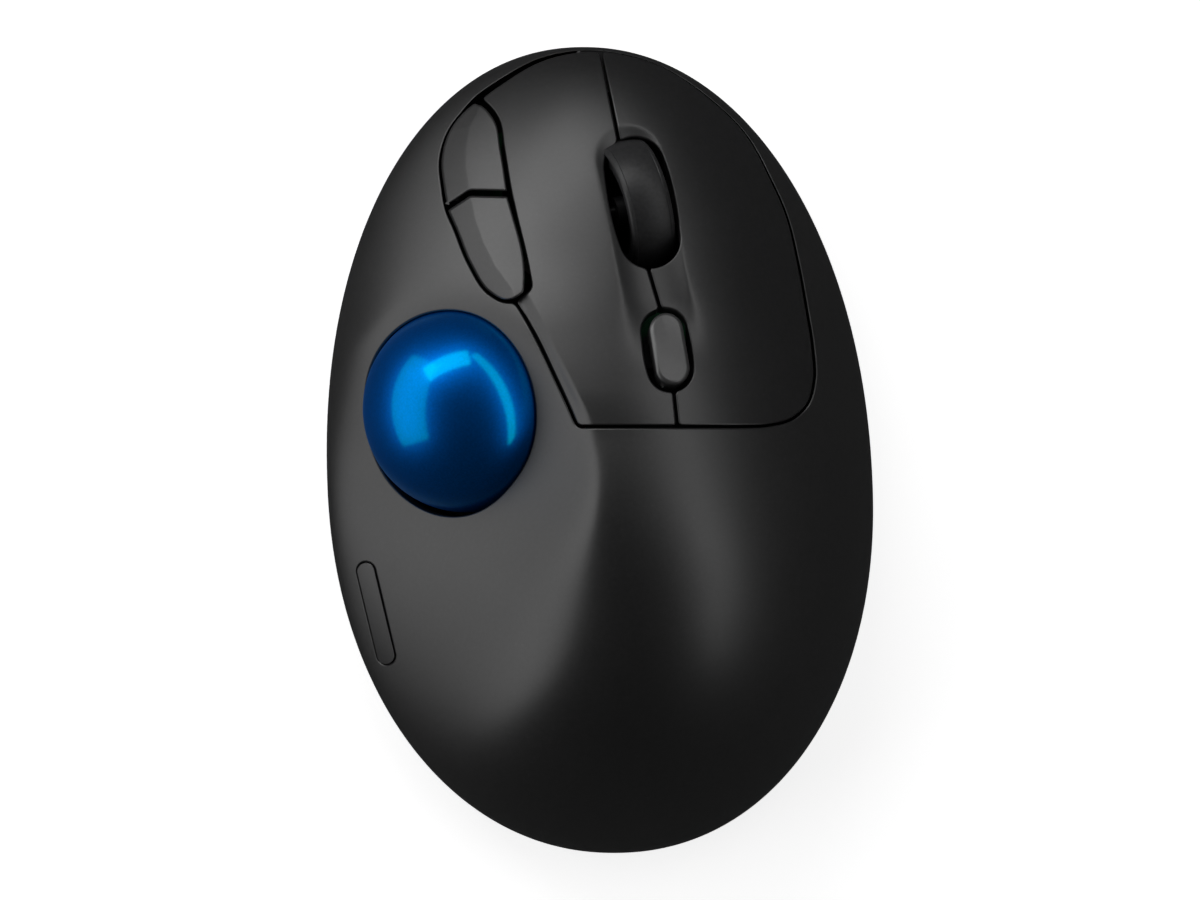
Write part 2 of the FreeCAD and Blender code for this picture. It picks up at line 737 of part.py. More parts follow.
def build_casing():
    """Both shells, the window, the keys and the thumb buttons."""
    outer, inner, key_inner = skin_layers()
    keys_outline, thumb_outline = key_outlines()
    split = SIZE["parting_height"]

    room = inner
    for x, y in SCREWS:
        room = room.cut(boss(x, y, split, SKY))
    upper = outer.common(Part.makeBox(200, 200, 100, V(-100, -100, split))).cut(room)
    upper = upper.cut(ball_opening())
    thumb_well = well(thumb_outline, SIZE["well_floor"])
    towards_key = thumb_well.copy()
    towards_key.translate(V(1.2, 0.5, 0))
    upper = upper.cut(well(keys_outline, SIZE["well_floor"])).cut(thumb_well.fuse(towards_key))
    upper = upper.cut(inlet_cut())
    for x, y in SCREWS:
        upper = upper.cut(Part.makeCylinder(SIZE["screw_radius"], 8.0, V(x, y, split - 0.5)))
    window_tool = pill_prism(WINDOW_LENGTH, WINDOW_WIDTH, WINDOW_FOOT, SKY, WINDOW_FRAME)
    window = outer.cut(inner).common(window_tool)
    upper = upper.cut(window_tool)
    upper = max(upper.Solids, key=lambda part: part.Volume)
    solid_node("upper_shell", upper)
    solid_node("led_window", max(window.Solids, key=lambda part: part.Volume))
    solid_node("base_shell", build_base(outer, inner))

    layer = outer.cut(key_inner)
    left_side, right_side = left_of_seam(0, SKY), right_of_seam(0, SKY)
    left = make_key(layer, keys_outline, left_side, LEFT_STEM, LEFT_EARS, SIZE["left_hinge_z"])
    right = make_key(layer, keys_outline, right_side, RIGHT_STEM, RIGHT_EARS, SIZE["right_hinge_z"])
    solid_node("left_key", left)
    solid_node("right_key", right)

    line = curve_through(THUMB_SPLIT)
    front_side = split_side(line, THUMB_SPLIT, 80.0, 0.3)
    back_side = split_side(line, THUMB_SPLIT, -20.0, -0.3)
    solid_node("forward_button", make_thumb_button(thumb_outline, front_side, FORWARD_POST))
    solid_node("back_button", make_thumb_button(thumb_outline, back_side, BACK_POST))


def split_side(line, points, far_y, shift):
    """Everything in front of, or behind, the line between the thumb buttons."""
    first, last = points[0], points[-1]
    left, right = first[0] - 20, last[0] + 20
    corners = [V(last[0], last[1], 0), V(right, last[1], 0), V(right, far_y, 0),
               V(left, far_y, 0), V(left, first[1], 0), V(first[0], first[1], 0)]
    edges = [Part.LineSegment(a, b).toShape() for a, b in zip(corners, corners[1:])]
    solid = prism(Part.Wire(Part.__sortEdges__([line] + edges)), 5, SKY)
    solid.translate(V(0, shift, 0))
    return solid


def receiver_bay_walls():
    """Block around the receiver bay."""
    wide = SIZE["receiver_wide"] + 3.0
    long = SIZE["receiver_long"] + 3.0
    corner = V(SIZE["receiver_x"] - wide / 2, SIZE["receiver_y"] - long / 2, SIZE["base_bottom"])
    return Part.makeBox(wide, long, SIZE["receiver_high"] + 1.6, corner)


def receiver_bay():
    """Pocket for the receiver, open underneath."""
    wide = SIZE["receiver_wide"] + 0.4
    long = SIZE["receiver_long"] + 0.4
    corner = V(SIZE["receiver_x"] - wide / 2, SIZE["receiver_y"] - long / 2, SIZE["base_bottom"] - 1)
    return Part.makeBox(wide, long, SIZE["receiver_high"] + 1.3, corner)


def build_base(outer, inner):
    """Tray of the lower casing with its posts, bays and holes."""
    split = SIZE["parting_height"]
    floor = FLOOR_TOP
    room = inner
    for x, y in SCREWS:
        room = room.cut(boss(x, y, 0, split))
    room = room.cut(receiver_bay_walls())
    for x, y in BOARD_SCREWS + (BOARD_POST,):
        room = room.cut(Part.makeCylinder(2.2, SIZE["board_bottom"] - floor + 1, V(x, y, floor - 1)))
    for x, y in FRAME_LEGS:
        room = room.cut(Part.makeBox(6.0, 6.0, 2.2, V(x - 3, y - 3, floor - 1)))
    battery_left = SIZE["battery_x"] - SIZE["battery_wide"] / 2 - 0.2
    for x in (battery_left - 1.2, battery_left + SIZE["battery_wide"] + 0.4):
        for y in (SIZE["battery_y"] - 10, SIZE["battery_y"] + 4):
            room = room.cut(Part.makeBox(1.2, 6.0, 5.0, V(x, y, floor - 1)))
    room = room.cut(Part.makeBox(4.0, 12.0, 5.2, V(-36.0, -32.0, floor - 1)))
    base = outer.common(Part.makeBox(200, 200, split + 5, V(-100, -100, -5))).cut(room)
    base = base.cut(receiver_bay())
    for x, y in SCREWS:
        head = Part.makeCylinder(SIZE["screw_head"] + 0.2, 1.35, V(x, y, SIZE["base_bottom"] - 0.1))
        base = base.cut(head).cut(Part.makeCylinder(SIZE["screw_radius"] + 0.15, 9.0, V(x, y, 0)))
    for x, y in BOARD_SCREWS:
        base = base.cut(Part.makeCylinder(0.8, 3.0, V(x, y, SIZE["board_bottom"] - 2.4)))
    base = base.cut(Part.makeBox(8.4, 3.6, 6.0, V(SLIDER_CORNER[0] - 0.2, SLIDER_CORNER[1] - 0.2, -1)))
    base = base.cut(Part.makeCylinder(2.0, 6.0, V(*PAIRING_SPOT, -1)))
    base = base.cut(Part.makeSphere(SIZE["cup_outer"] + 0.15, BALL_CENTRE))
    for x, y in CUP_POSTS:
        base = base.fuse(Part.makeCylinder(2.6, 0.8, V(x, y, floor - 0.3)))
    return max(base.Solids, key=lambda part: part.Volume)


# ---------------------------------------------------------------- ball and its cup
def build_ball_unit():
    """Ball, cup, three ceramic supports and the optical sensor behind its window."""
    ball = sphere("ball_sphere", "Sizes.ball_radius")
    ball.Placement = BALL_FRAME
    keep(ball, "trackball")

    cup_outer = sphere("cup_outside", "Sizes.cup_outer", BALL_CENTRE)
    posts = [cylinder("cup_post_%d" % i, 2.2, 8.5, (x, y, FLOOR_TOP + 0.5))
             for i, (x, y) in enumerate(CUP_POSTS)]
    arms = []
    for i, y in enumerate((-7.4, 7.4)):
        foot = SENSOR_FRAME.multVec(V(0, y, 16.0))
        arms.append(cylinder("sensor_arm_%d" % i, 1.0, 6.1, foot, SENSOR_FRAME.Rotation.multVec(Z_AXIS)))
    hollow = sphere("cup_hollow", "Sizes.cup_inner", BALL_CENTRE)
    above = block("cup_above", 60, 60, 40, (-30, -30, 0))
    above.Placement = BALL_FRAME.multiply(
        FreeCAD.Placement(V(-30, -30, SIZE["cup_rim_level"]), FreeCAD.Rotation()))
    drain = cylinder("cup_eject_hole", "Sizes.eject_radius", 20, (SIZE["ball_x"], SIZE["ball_y"], 0))
    sensor_axis = SENSOR_FRAME.Rotation.multVec(Z_AXIS)
    window = cylinder("cup_sensor_window", 3.2, 8, SENSOR_FRAME.multVec(V(0, 0, 14)), sensor_axis)
    seats = []
    supports = []
    reach = SIZE["ball_radius"] + SIZE["bearing_radius"] + SIZE["bearing_gap"]
    polar = math.radians(SIZE["bearing_polar"])
    for i, around in enumerate((60, 180, 300)):
        spot = V(math.sin(polar) * math.cos(math.radians(around)),
                 math.sin(polar) * math.sin(math.radians(around)), -math.cos(polar)) * reach
        centre = BALL_FRAME.multVec(spot)
        seats.append(sphere("bearing_seat_%d" % i, "Sizes.bearing_radius", centre))
        supports.append(sphere("bearing_%d" % i, "Sizes.bearing_radius", centre))
    cup = cut("cup", fuse("cup_solid", [cup_outer] + posts + arms), [hollow, above, drain, window] + seats)
    keep(cup, "ball_cup")
    keep(group("bearings", supports), "bearing_balls")

    lens = cylinder("lens_disc", 3.0, 1.9, (0, 0, 17.6))
    lens_box = block("lens_plate", 9, 9, 1.0, (-4.5, -4.5, 19.5))
    lens_unit = fuse("lens_unit", [lens, lens_box])
    lens_unit.Placement = SENSOR_FRAME
    keep(lens_unit, "sensor_lens")
    chip = block("sensor_chip", 8, 8, 1.6, (0, 0, 0))
    chip.Placement = SENSOR_FRAME.multiply(FreeCAD.Placement(V(-4, -4, 20.5), FreeCAD.Rotation()))
    keep(chip, "ball_sensor")
    board = block("sensor_plate", 10, 18, 1.2, (0, 0, 0))
    board.Placement = SENSOR_FRAME.multiply(FreeCAD.Placement(V(-5, -9, 22.1), FreeCAD.Rotation()))
    keep(board, "sensor_board")


# ---------------------------------------------------------------- wheel unit, in its own tilted frame
def build_wheel_unit():
    """Tyre, hub and axle that spin, and the carrier with encoder that presses down."""
    half_tyre = SIZE["tyre_width"] / 2
    half_hub = SIZE["hub_width"] / 2
    along_x = V(1, 0, 0)
    band = cylinder("tyre_band", "Sizes.tyre_radius", "Sizes.tyre_width", (-half_tyre, 0, 0), along_x)
    bore = cylinder("tyre_bore", "Sizes.hub_radius", 20, (-10, 0, 0), along_x)
    rounded = doc.addObject("Part::Fillet", "tyre_rounded")
    rounded.Base = band
    doc.recompute()
    rims = [i for i, edge in enumerate(band.Shape.Edges, start=1) if edge.isClosed() and edge.Length > 50]
    rounded.Edges = [(i, SIZE["tyre_crown"], SIZE["tyre_crown"]) for i in rims]
    tyre = cut("tyre_ring", rounded, [bore])
    tyre.Placement = WHEEL_FRAME
    keep(tyre, "wheel_tyre")

    disc = cylinder("hub_disc", "Sizes.hub_radius", "Sizes.hub_width", (-half_hub, 0, 0), along_x)
    dish_left = cylinder("hub_dish_left", 7.6, 2.0, (-half_hub, 0, 0), along_x)
    dish_right = cylinder("hub_dish_right", 7.6, 2.0, (half_hub - 2.0, 0, 0), along_x)
    core = cylinder("hub_core", 2.4, "Sizes.hub_width", (-half_hub, 0, 0), along_x)
    axle_hole = cylinder("hub_bore", "Sizes.wheel_axle_radius", 20, (-10, 0, 0), along_x)
    ring = cut("hub_ring", disc, [dish_left, dish_right])
    hub = cut("hub", fuse("hub_solid", [ring, core]), [axle_hole])
    hub.Placement = WHEEL_FRAME
    keep(hub, "wheel_hub")
    axle = cylinder("axle_pin", "Sizes.wheel_axle_radius", 15.4, (-6.0, 0, 0), along_x)
    axle.Placement = WHEEL_FRAME.multiply(axle.Placement)
    keep(axle, "wheel_axle")

    sides = []
    for i, x in enumerate((-6.3, 4.7)):
        sides.append(block("carrier_rail_%d" % i, 1.6, 30, 4, (x, -15, -9)))
        sides.append(block("carrier_cheek_%d" % i, 1.6, 6, 12, (x, -3, -9)))
    for i, y in enumerate((-15.0, 13.2)):
        sides.append(block("carrier_bridge_%d" % i, 12.6, 1.8, 4, (-6.3, y, -9)))
    sides.append(block("carrier_tongue", 5, 5.6, 1.6, (-2.5, 14.0, -9)))
    loose_fit = "Sizes.wheel_axle_radius + Sizes.axle_clearance"
    holes = cylinder("carrier_bore", loose_fit, 30, (-15, 0, 0), along_x)
    carrier = cut("carrier", fuse("carrier_solid", sides), [holes])
    carrier.Placement = WHEEL_FRAME
    keep(carrier, "wheel_carrier")

    encoder_body = block("encoder_box", 3.6, 8, 7.4, (6.3, -4.0, -6))
    encoder_bore = cylinder("encoder_bore", loose_fit, 30, (-15, 0, 0), along_x)
    encoder = cut("encoder", encoder_body, [encoder_bore])
    encoder.Placement = WHEEL_FRAME
    keep(encoder, "wheel_encoder")


def build_switches():
    """Micro switches under the keys and the tact switches under the small buttons."""
    for side, x, y in (("left", -9.0, 46.0), ("right", 17.0, 45.0)):
        body = centred_block(side + "_switch_body", "Sizes.switch_wide", "Sizes.switch_long",
                             "Sizes.switch_high", (x, y), BOARD_TOP)
        plunger = cylinder(side + "_plunger", 0.9, 1.9, (x, y + 3.0, BOARD_TOP + SIZE["switch_high"] - 1))
        keep(fuse(side + "_switch_solid", [body, plunger]), side + "_switch")
    tongue = WHEEL_FRAME.multVec(V(0, 17.2, -9))
    base = centred_block("middle_switch_body", 6, 5, 3.6, (tongue.x, tongue.y), BOARD_TOP)
    button = cylinder("middle_plunger", 1.0, 1.2, (tongue.x, tongue.y, BOARD_TOP + 3.2))
    keep(fuse("middle_switch_solid", [base, button]), "middle_switch")


def build_boards():
    """Main board with its chip and charging inlet, and the light strip."""
    plate = Part.makePolygon([V(x, y, 0) for x, y in BOARD_OUTLINE])
    board = prism(plate, SIZE["board_bottom"], BOARD_TOP)
    for x, y in BOARD_SCREWS:
        board = board.cut(Part.makeCylinder(1.0, 10, V(x, y, 0)))
    solid_node("main_board", board)
    keep(block("chip", 7, 7, 1.0, (-4.0, 29.5, BOARD_TOP)), "controller_chip")
    depth, back = 7.2, 1.0
    wide, high, metal = SIZE["inlet_wide"], SIZE["inlet_high"], 2 * SIZE["inlet_wall"]
    shell = prism(pill_wire(wide, high), 0, depth)
    mouth = prism(pill_wire(wide - metal, high - metal), back, depth)
    blade = Part.makeBox(0.7, 6.6, 5.0, V(-0.35, -3.3, back / 2))
    inlet = shell.cut(mouth).fuse(blade)
    solid_node("usb_inlet", inlet, FreeCAD.Placement(V(0, 58.6, INLET_HEIGHT), FACING_FRONT))

    light_plate = block("light_plate", 3, 13, 0.8, (-35.5, -33, 7.0))
    lamps = [block("lamp_%d" % i, 1.6, 1.6, 0.8, (-34.8, -31.5 + 4.2 * i, 7.8)) for i in range(3)]
    keep(fuse("light_strip", [light_plate] + lamps), "led_board")


def hinge_lug(x, height, foot):
    """Upright plate on the bridge that holds a hinge pin."""
    deep = SIZE["lug_deep"]
    high = height + SIZE["lug_rise"] - foot
    return Part.makeBox(SIZE["ear_wide"], deep, high, V(x, SIZE["hinge_y"] - deep / 2, foot))


def hinge_pin(side, ears):
    """Pin from the outer face of one ear to the outer face of the other."""
    base = (ears[0], SIZE["hinge_y"], SIZE[side + "_hinge_z"])
    length = ears[1] - ears[0] + SIZE["ear_wide"]
    return cylinder(side + "_pin", "Sizes.hinge_pin_radius", length, base, V(1, 0, 0))


def build_key_frame():
    """Bridge on four legs that carries the hinge pins and the DPI switch."""
    top = SIZE["frame_top"]
    under = top - SIZE["frame_thick"]
    overlap = 0.2
    solid = prism(Part.makePolygon([V(x, y, 0) for x, y in FRAME_OUTLINE]), under, top)
    leg = 3.6
    foot = FLOOR_TOP + 1.2
    for x, y in FRAME_LEGS:
        corner = V(x - leg / 2, y - leg / 2, foot)
        solid = solid.fuse(Part.makeBox(leg, leg, under - foot + 2 * overlap, corner))
    lugs = [(x, SIZE["left_hinge_z"]) for x in LEFT_LUGS] + [(x, SIZE["right_hinge_z"]) for x in RIGHT_LUGS]
    for x, height in lugs:
        solid = solid.fuse(hinge_lug(x, height, top - 2 * overlap))
    for x, height in lugs:
        hole = V(x - 0.7, SIZE["hinge_y"], height)
        solid = solid.cut(Part.makeCylinder(SIZE["hinge_pin_radius"], 3.0, hole, V(1, 0, 0)))
    shelf_top = PILL_POINT.z - SIZE["dpi_shelf_drop"]
    corner_x, corner_y = SIZE["pill_x"] - 5.9, SIZE["pill_y"] - 2.9
    wide, deep, plate = 8.6, 9.0, 1.0
    shelf = Part.makeBox(wide, deep, shelf_top - top + overlap, V(corner_x, corner_y, top - overlap))
    solid_node("key_frame", solid.fuse(shelf))

    pins = [hinge_pin("left", LEFT_EARS), hinge_pin("right", RIGHT_EARS)]
    keep(group("hinge_pins", pins), "key_hinge_pins")
    keep(block("dpi_plate", wide, deep, plate, (corner_x, corner_y, shelf_top)), "dpi_board")
    body = block("dpi_switch_body", 5.0, 5.0, 1.6, (corner_x + 1.8, corner_y, shelf_top + plate))
    keep(body, "dpi_switch")


def build_dpi_button():
    """Pill-shaped button that stands square to the sloping keys."""
    low = -2.6
    pill = pill_prism(SIZE["pill_length"], SIZE["pill_width"], low, SIZE["pill_proud"], FreeCAD.Placement())
    top_edges = [edge for edge in pill.Edges if edge.BoundBox.ZMin > SIZE["pill_proud"] - 1e-3]
    pill = pill.makeFillet(0.8, top_edges)
    solid_node("dpi_button", pill, PILL_FRAME)


def build_thumb_unit():
    """Board with two tact switches under the thumb buttons."""
    plate = block("thumb_plate", 6.5, 23.2, 1.2, (-22.6, 29.0, 12.6))
    legs = [block("thumb_leg_%d" % i, 3.0, 2.4, 12.6 - FLOOR_TOP, (-21.0, y, FLOOR_TOP))
            for i, y in enumerate((29.4, 50.2))]
    keep(plate, "thumb_board")
    keep(group("thumb_leg_pair", legs), "thumb_board_posts")
    bodies = []
    for i, (x, y, foot) in enumerate((FORWARD_POST, BACK_POST)):
        body = centred_block("thumb_switch_%d" % i, 4.5, 4.5, foot - 0.8 - 13.8, (x, y), 13.8)
        bodies.append(body)
    keep(group("thumb_switch_pair", bodies), "thumb_switches")


def build_underside():
    """Battery, receiver, power slider, pairing button, feet and screws."""
    keep(centred_block("battery_cell", "Sizes.battery_wide", "Sizes.battery_long", "Sizes.battery_high",
                       (SIZE["battery_x"], SIZE["battery_y"]), FLOOR_TOP), "battery")
    receiver = centred_block("receiver_body", "Sizes.receiver_wide", "Sizes.receiver_long",
                             "Sizes.receiver_high", (SIZE["receiver_x"], SIZE["receiver_y"]),
                             SIZE["base_bottom"])
    keep(receiver, "receiver")

    x, y = SLIDER_CORNER
    knob = block("slider_knob", 5.0, 3.2, 1.9, (x, y, 1.1))
    stalk = block("slider_stalk", 1.6, 1.6, 1.5, (x + 1.7, y + 0.8, 2.9))
    keep(fuse("slider", [knob, stalk]), "power_slider")
    switch_box = block("slide_switch_box", 9.0, 4.4, 1.5, (x - 0.5, y - 0.6, 3.1))
    switch_slot = block("slide_switch_slot", 5.4, 1.9, 4.0, (x + 1.5, y + 0.65, 2.0))
    keep(cut("slide_switch", switch_box, [switch_slot]), "power_switch")
    x, y = PAIRING_SPOT
    cap = cylinder("pairing_cap", 1.8, 2.1, (x, y, 1.1))
    flange = cylinder("pairing_flange", 2.6, 0.4, (x, y, 3.0))
    keep(fuse("pairing", [cap, flange]), "pairing_button")
    keep(centred_block("pairing_contact", 4, 4, 0.7, PAIRING_SPOT, 3.9), "pairing_switch")

    pads = []
    for i, (x, y, length, width, turn) in enumerate(FEET):
        place = FreeCAD.Placement(V(x, y, 0), FreeCAD.Rotation(Z_AXIS, turn - 90))
        pads.append(pill_prism(length, width, 0, SIZE["base_bottom"], place))
    solid_node("feet", Part.Compound(pads))

    screws = []
    for x, y in SCREWS:
        head = Part.makeCylinder(SIZE["screw_head"], 1.1, V(x, y, 0.9))
        shank = Part.makeCylinder(SIZE["screw_radius"], 10.0, V(x, y, 1.9))
        screws.append(head.fuse(shank))
    solid_node("case_screws", Part.Compound(screws))
    small = []
    for x, y in BOARD_SCREWS:
        head = Part.makeCylinder(1.6, 0.9, V(x, y, BOARD_TOP))
        shank = Part.makeCylinder(0.8, 3.6, V(x, y, BOARD_TOP - 3.6))
        small.append(head.fuse(shank))
    solid_node("board_screws", Part.Compound(small))


def check_and_write():
    """Stop on any failed object or bad shape, then write one STEP file per node."""
    doc.recompute()
    for item in doc.Objects:
        bad = [state for state in item.State if state in ("Invalid", "Error")]
        if bad:
            raise RuntimeError("%s is %s" % (item.Label, bad))
    for item in NODES:
        if item.Shape.isNull() or not item.Shape.isValid() or not item.Shape.Solids:
            raise RuntimeError("bad shape: " + item.Label)
    os.makedirs("parts", exist_ok=True)
    for item in NODES:
        item.Shape.exportStep(os.path.join("parts", item.Label + ".step"))


build_casing()
build_ball_unit()
build_wheel_unit()
build_switches()
build_boards()
build_key_frame()
build_dpi_button()
build_thumb_unit()
build_underside()
check_and_write()
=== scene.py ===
"""Trackball mouse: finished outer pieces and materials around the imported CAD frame."""
import math

import bpy
import numpy as np
from mathutils import Matrix, Vector
from mathutils.geometry import delaunay_2d_cdt


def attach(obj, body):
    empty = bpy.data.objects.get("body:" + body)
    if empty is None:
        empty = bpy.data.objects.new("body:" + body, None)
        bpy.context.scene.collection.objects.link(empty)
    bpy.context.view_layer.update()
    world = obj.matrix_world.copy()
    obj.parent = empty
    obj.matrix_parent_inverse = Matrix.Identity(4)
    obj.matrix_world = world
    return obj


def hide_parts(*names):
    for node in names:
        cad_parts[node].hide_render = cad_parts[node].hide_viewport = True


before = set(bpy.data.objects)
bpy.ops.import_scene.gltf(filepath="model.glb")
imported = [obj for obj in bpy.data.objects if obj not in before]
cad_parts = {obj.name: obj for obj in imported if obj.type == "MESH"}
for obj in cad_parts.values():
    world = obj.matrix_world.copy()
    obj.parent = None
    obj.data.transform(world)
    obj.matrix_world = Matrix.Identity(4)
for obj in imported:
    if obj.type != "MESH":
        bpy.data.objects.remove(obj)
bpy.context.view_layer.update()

MM = 0.001

# ---------------------------------------------------------------- form of the casing, in mm
# outline in plan: a power curve whose middle line leans to the left towards the front
HALF_WIDTH = 45.0
FRONT_REACH = 72.3
REAR_REACH = 60.7
WIDEST_Y = -5.8
OUTLINE_POWER = 2.1
OUTLINE_LEAN = 0.038
# the skin comes down to the rim, and tucks in below it as far as the parting line
RIM_HEIGHT = 8.5
RIM_POWER = 8.0
TUCK_IN = 4.5
TUCK_HEIGHT = 7.7
PARTING = 5.5
# the plan is unrolled over the rim: it is the real plan up to PLAIN, the rim is at EQUATOR, and
# the tuck-in under it takes the rest
PLAIN = 0.85
EASE = 0.3
EQUATOR = PLAIN + EASE
TUCK_SPAN = 0.2
# softness of the ridge between palm and thumb rest: on the skin, on the thumb buttons, for walls
CRISP = 1.0
BUTTON_CRISP = 0.35
SOFT = 12.0
# towards the rear the ridge melts away
RIDGE_FADE = 8.0
RIDGE_FADE_Y = -20.0
RIDGE_FADE_RUN = 5.0
# the ball stands in the thumb rest, and the axis of its bore leans out to the left
BALL_CENTRE = np.array([-21.86, 6.77, 23.0])
BALL_RADIUS = 17.0
TILT = math.radians(36.5)
HEADING = math.radians(203.0)
BALL_AXIS = np.array([math.sin(TILT) * math.cos(HEADING), math.sin(TILT) * math.sin(HEADING),
                      math.cos(TILT)])
# palm rest: its summit, how it falls to both sides and the rear, and its slope in front
PALM_SUMMIT = (1.0, -15.0, 46.0)
PALM_FALL_RIGHT = 0.0135
PALM_FALL_LEFT = 0.009
PALM_FALL_REAR = 0.010
PALM_SLOPE_FRONT = 0.42
PALM_EASE = 21.0
# thumb rest: a tilted plane about the ball that bends down in front and levels out behind
THUMB_HEIGHT = 29.0
THUMB_SLOPE_X = 0.60
THUMB_SLOPE_Y = 0.26
THUMB_FLAT = 15.3
THUMB_BEND = 7.0
THUMB_FALL_FRONT = 0.645
THUMB_LIFT_REAR = 0.22
HEEL_LIFT = 0.28
HEEL_LENGTH = 22.0
HEEL_BENDS = (5.0, 10.0)
THUMB_TWIST = 0.008
THUMB_HOLLOW = 0.006
# groove of the wheel: its middle line, and the lip, which is crisp in front and soft behind
GROOVE_FRONT = np.array([4.7, 47.7])
GROOVE_REAR = np.array([12.2, 10.4])
GROOVE_HALF_WIDTH = 5.45
GROOVE_DEPTH = 1.5
GROOVE_SLOPE = 0.5
GROOVE_END_Y = 12.5
GROOVE_END_RUN = 12.0
LIP_CRISP = 0.3
LIP_SOFTER = 1.3
LIP_FADE_Y = 29.0
LIP_FADE_RUN = 13.0
# crease of the thumb buttons, from the rear to the front: y and x, then its height and two slopes
CREASE_Y = (24.0, 26.0, 29.8, 33.8, 37.6, 41.0, 43.0, 46.2, 49.5, 52.8, 56.1, 58.0)
CREASE_X = (-13.6, -14.2, -16.9, -18.9, -20.2, -21.1, -21.5, -21.8, -21.7, -21.2, -19.9, -18.9)
CREASE_HEIGHT = 0.5
CREASE_SIDE_SLOPE = 0.34
CREASE_TOP_SLOPE = 0.10
CREASE_SOFT = 0.12
# step of the left key above the thumb rest: its line, then the cut foot, the rise and the fade
BAND_POINT = (-13.9, 24.3)
BAND_NORMAL = (0.895, 0.445)
BAND_STEP = 0.35
BAND_CUT = 0.6
BAND_FOOT = 1.0
BAND_RISE = 1.8
BAND_CREST = 2.8
BAND_FADE = 16.0
BAND_FRONT_Y = 34.0
BAND_FRONT_RUN = 14.0
BAND_REAR_Y = 1.0
BAND_REAR_RUN = 9.0
# the mesh is fine within these distances of a crease, and in front of or between these y
RIDGE_DETAIL = 2.2
RIDGE_DETAIL_Y = -24.0
LIP_DETAIL = 0.9
LIP_DETAIL_Y = 24.0
CREASE_DETAIL = 0.8
BAND_DETAIL = (0.5, 3.4)
BAND_DETAIL_Y = (-12.0, 26.0)
# height over width of a row of triangles, the share of the spacing that points keep from an edge,
# the distance below which they merge, and how many are compared in one go
HEX_ROW = 0.866
EDGE_ROOM = 0.6
MERGE = 1e-5
CHUNK = 2000
# least divisor
TINY = 1e-9


def ramp(distance, width):
    """Zero far below 0, the distance itself far above, and smooth between."""
    return (distance + np.hypot(distance, width)) / 2


def smooth_step(value):
    """0 below 0, 1 above 1, and a smooth rise between."""
    value = np.clip(value, 0.0, 1.0)
    return value * value * (3 - 2 * value)


def palm_surface(x, y):
    """Height of the palm rest: a dome that runs out straight towards the front."""
    summit_x, summit_y, summit_z = PALM_SUMMIT
    along = y - summit_y
    side = np.where(x > summit_x, PALM_FALL_RIGHT, PALM_FALL_LEFT)
    ahead = PALM_SLOPE_FRONT * (np.hypot(along, PALM_EASE) - PALM_EASE)
    fall = np.where(along < 0, PALM_FALL_REAR * along ** 2, ahead)
    return summit_z - side * (x - summit_x) ** 2 - fall


def thumb_surface(x, y):
    """Height of the thumb rest: a plane about the ball, bent in front and behind it."""
    across = x - BALL_CENTRE[0]
    along = y - BALL_CENTRE[1]
    level = THUMB_HEIGHT + THUMB_SLOPE_X * across + THUMB_SLOPE_Y * along
    level = level - THUMB_FALL_FRONT * ramp(along - THUMB_FLAT, THUMB_BEND)
    level = level + THUMB_LIFT_REAR * ramp(-along - THUMB_FLAT, THUMB_BEND)
    start, end = HEEL_BENDS
    level = level + HEEL_LIFT * (ramp(-y, start) - ramp(-y - HEEL_LENGTH, end))
    return level - THUMB_TWIST * across * along + THUMB_HOLLOW * across ** 2


def trough_edge(x, y):
    """Distance inside the lip of the groove that the wheel sits in."""
    front = GROOVE_FRONT
    run = GROOVE_REAR - front
    t = np.clip(((x - front[0]) * run[0] + (y - front[1]) * run[1]) / (run @ run), 0.0, 1.0)
    away = np.hypot(x - front[0] - t * run[0], y - front[1] - t * run[1])
    return GROOVE_HALF_WIDTH - away


def wheel_trough(x, y):
    """Depth of the groove: a crisp lip in front and beside the wheel that fades behind it."""
    width = LIP_CRISP + LIP_SOFTER * smooth_step((LIP_FADE_Y - y) / LIP_FADE_RUN)
    slope = GROOVE_SLOPE * ramp(trough_edge(x, y), width)
    depth = GROOVE_DEPTH * np.tanh(slope / GROOVE_DEPTH)
    return depth * smooth_step((y - GROOVE_END_Y) / GROOVE_END_RUN)


def crease_distance(x, y):
    """Distance to the right of the crease on the thumb buttons."""
    return x - np.interp(y, CREASE_Y, CREASE_X)


def thumb_crease(x, y):
    """Tent over the thumb buttons: highest on the crease between their top and side facets."""
    away = crease_distance(x, y)
    side = CREASE_SIDE_SLOPE * ramp(-away, CREASE_SOFT)
    top = CREASE_TOP_SLOPE * ramp(away, CREASE_SOFT)
    return CREASE_HEIGHT - side - top


def band_distance(x, y):
    """Distance to the right of the line where the left key meets the thumb rest."""
    return (x - BAND_POINT[0]) * BAND_NORMAL[0] + (y - BAND_POINT[1]) * BAND_NORMAL[1]


def key_band(x, y):
    """Low step along the left key's rear edge, which stands above the thumb rest."""
    away = band_distance(x, y)
    rise = smooth_step((away - BAND_FOOT) / BAND_RISE)
    raised = BAND_STEP * rise * (1 - smooth_step((away - BAND_CREST) / BAND_FADE))
    carved = BAND_STEP * smooth_step(away / BAND_CUT) * (1 - rise)
    front = smooth_step((BAND_FRONT_Y - y) / BAND_FRONT_RUN)
    rear = smooth_step((y - BAND_REAR_Y) / BAND_REAR_RUN)
    return (raised - carved) * front * rear


def gauge_axes(x, y):
    """Both axes of the outline's power curve, and its reach to the front or the rear."""
    along = y - WIDEST_Y
    reach = np.where(along > 0, FRONT_REACH, REAR_REACH)
    return (x + OUTLINE_LEAN * along) / HALF_WIDTH, along / reach, reach


def power_norm(a, b):
    """0 in the middle of the outline and 1 on it."""
    return (np.abs(a) ** OUTLINE_POWER + np.abs(b) ** OUTLINE_POWER) ** (1 / OUTLINE_POWER)


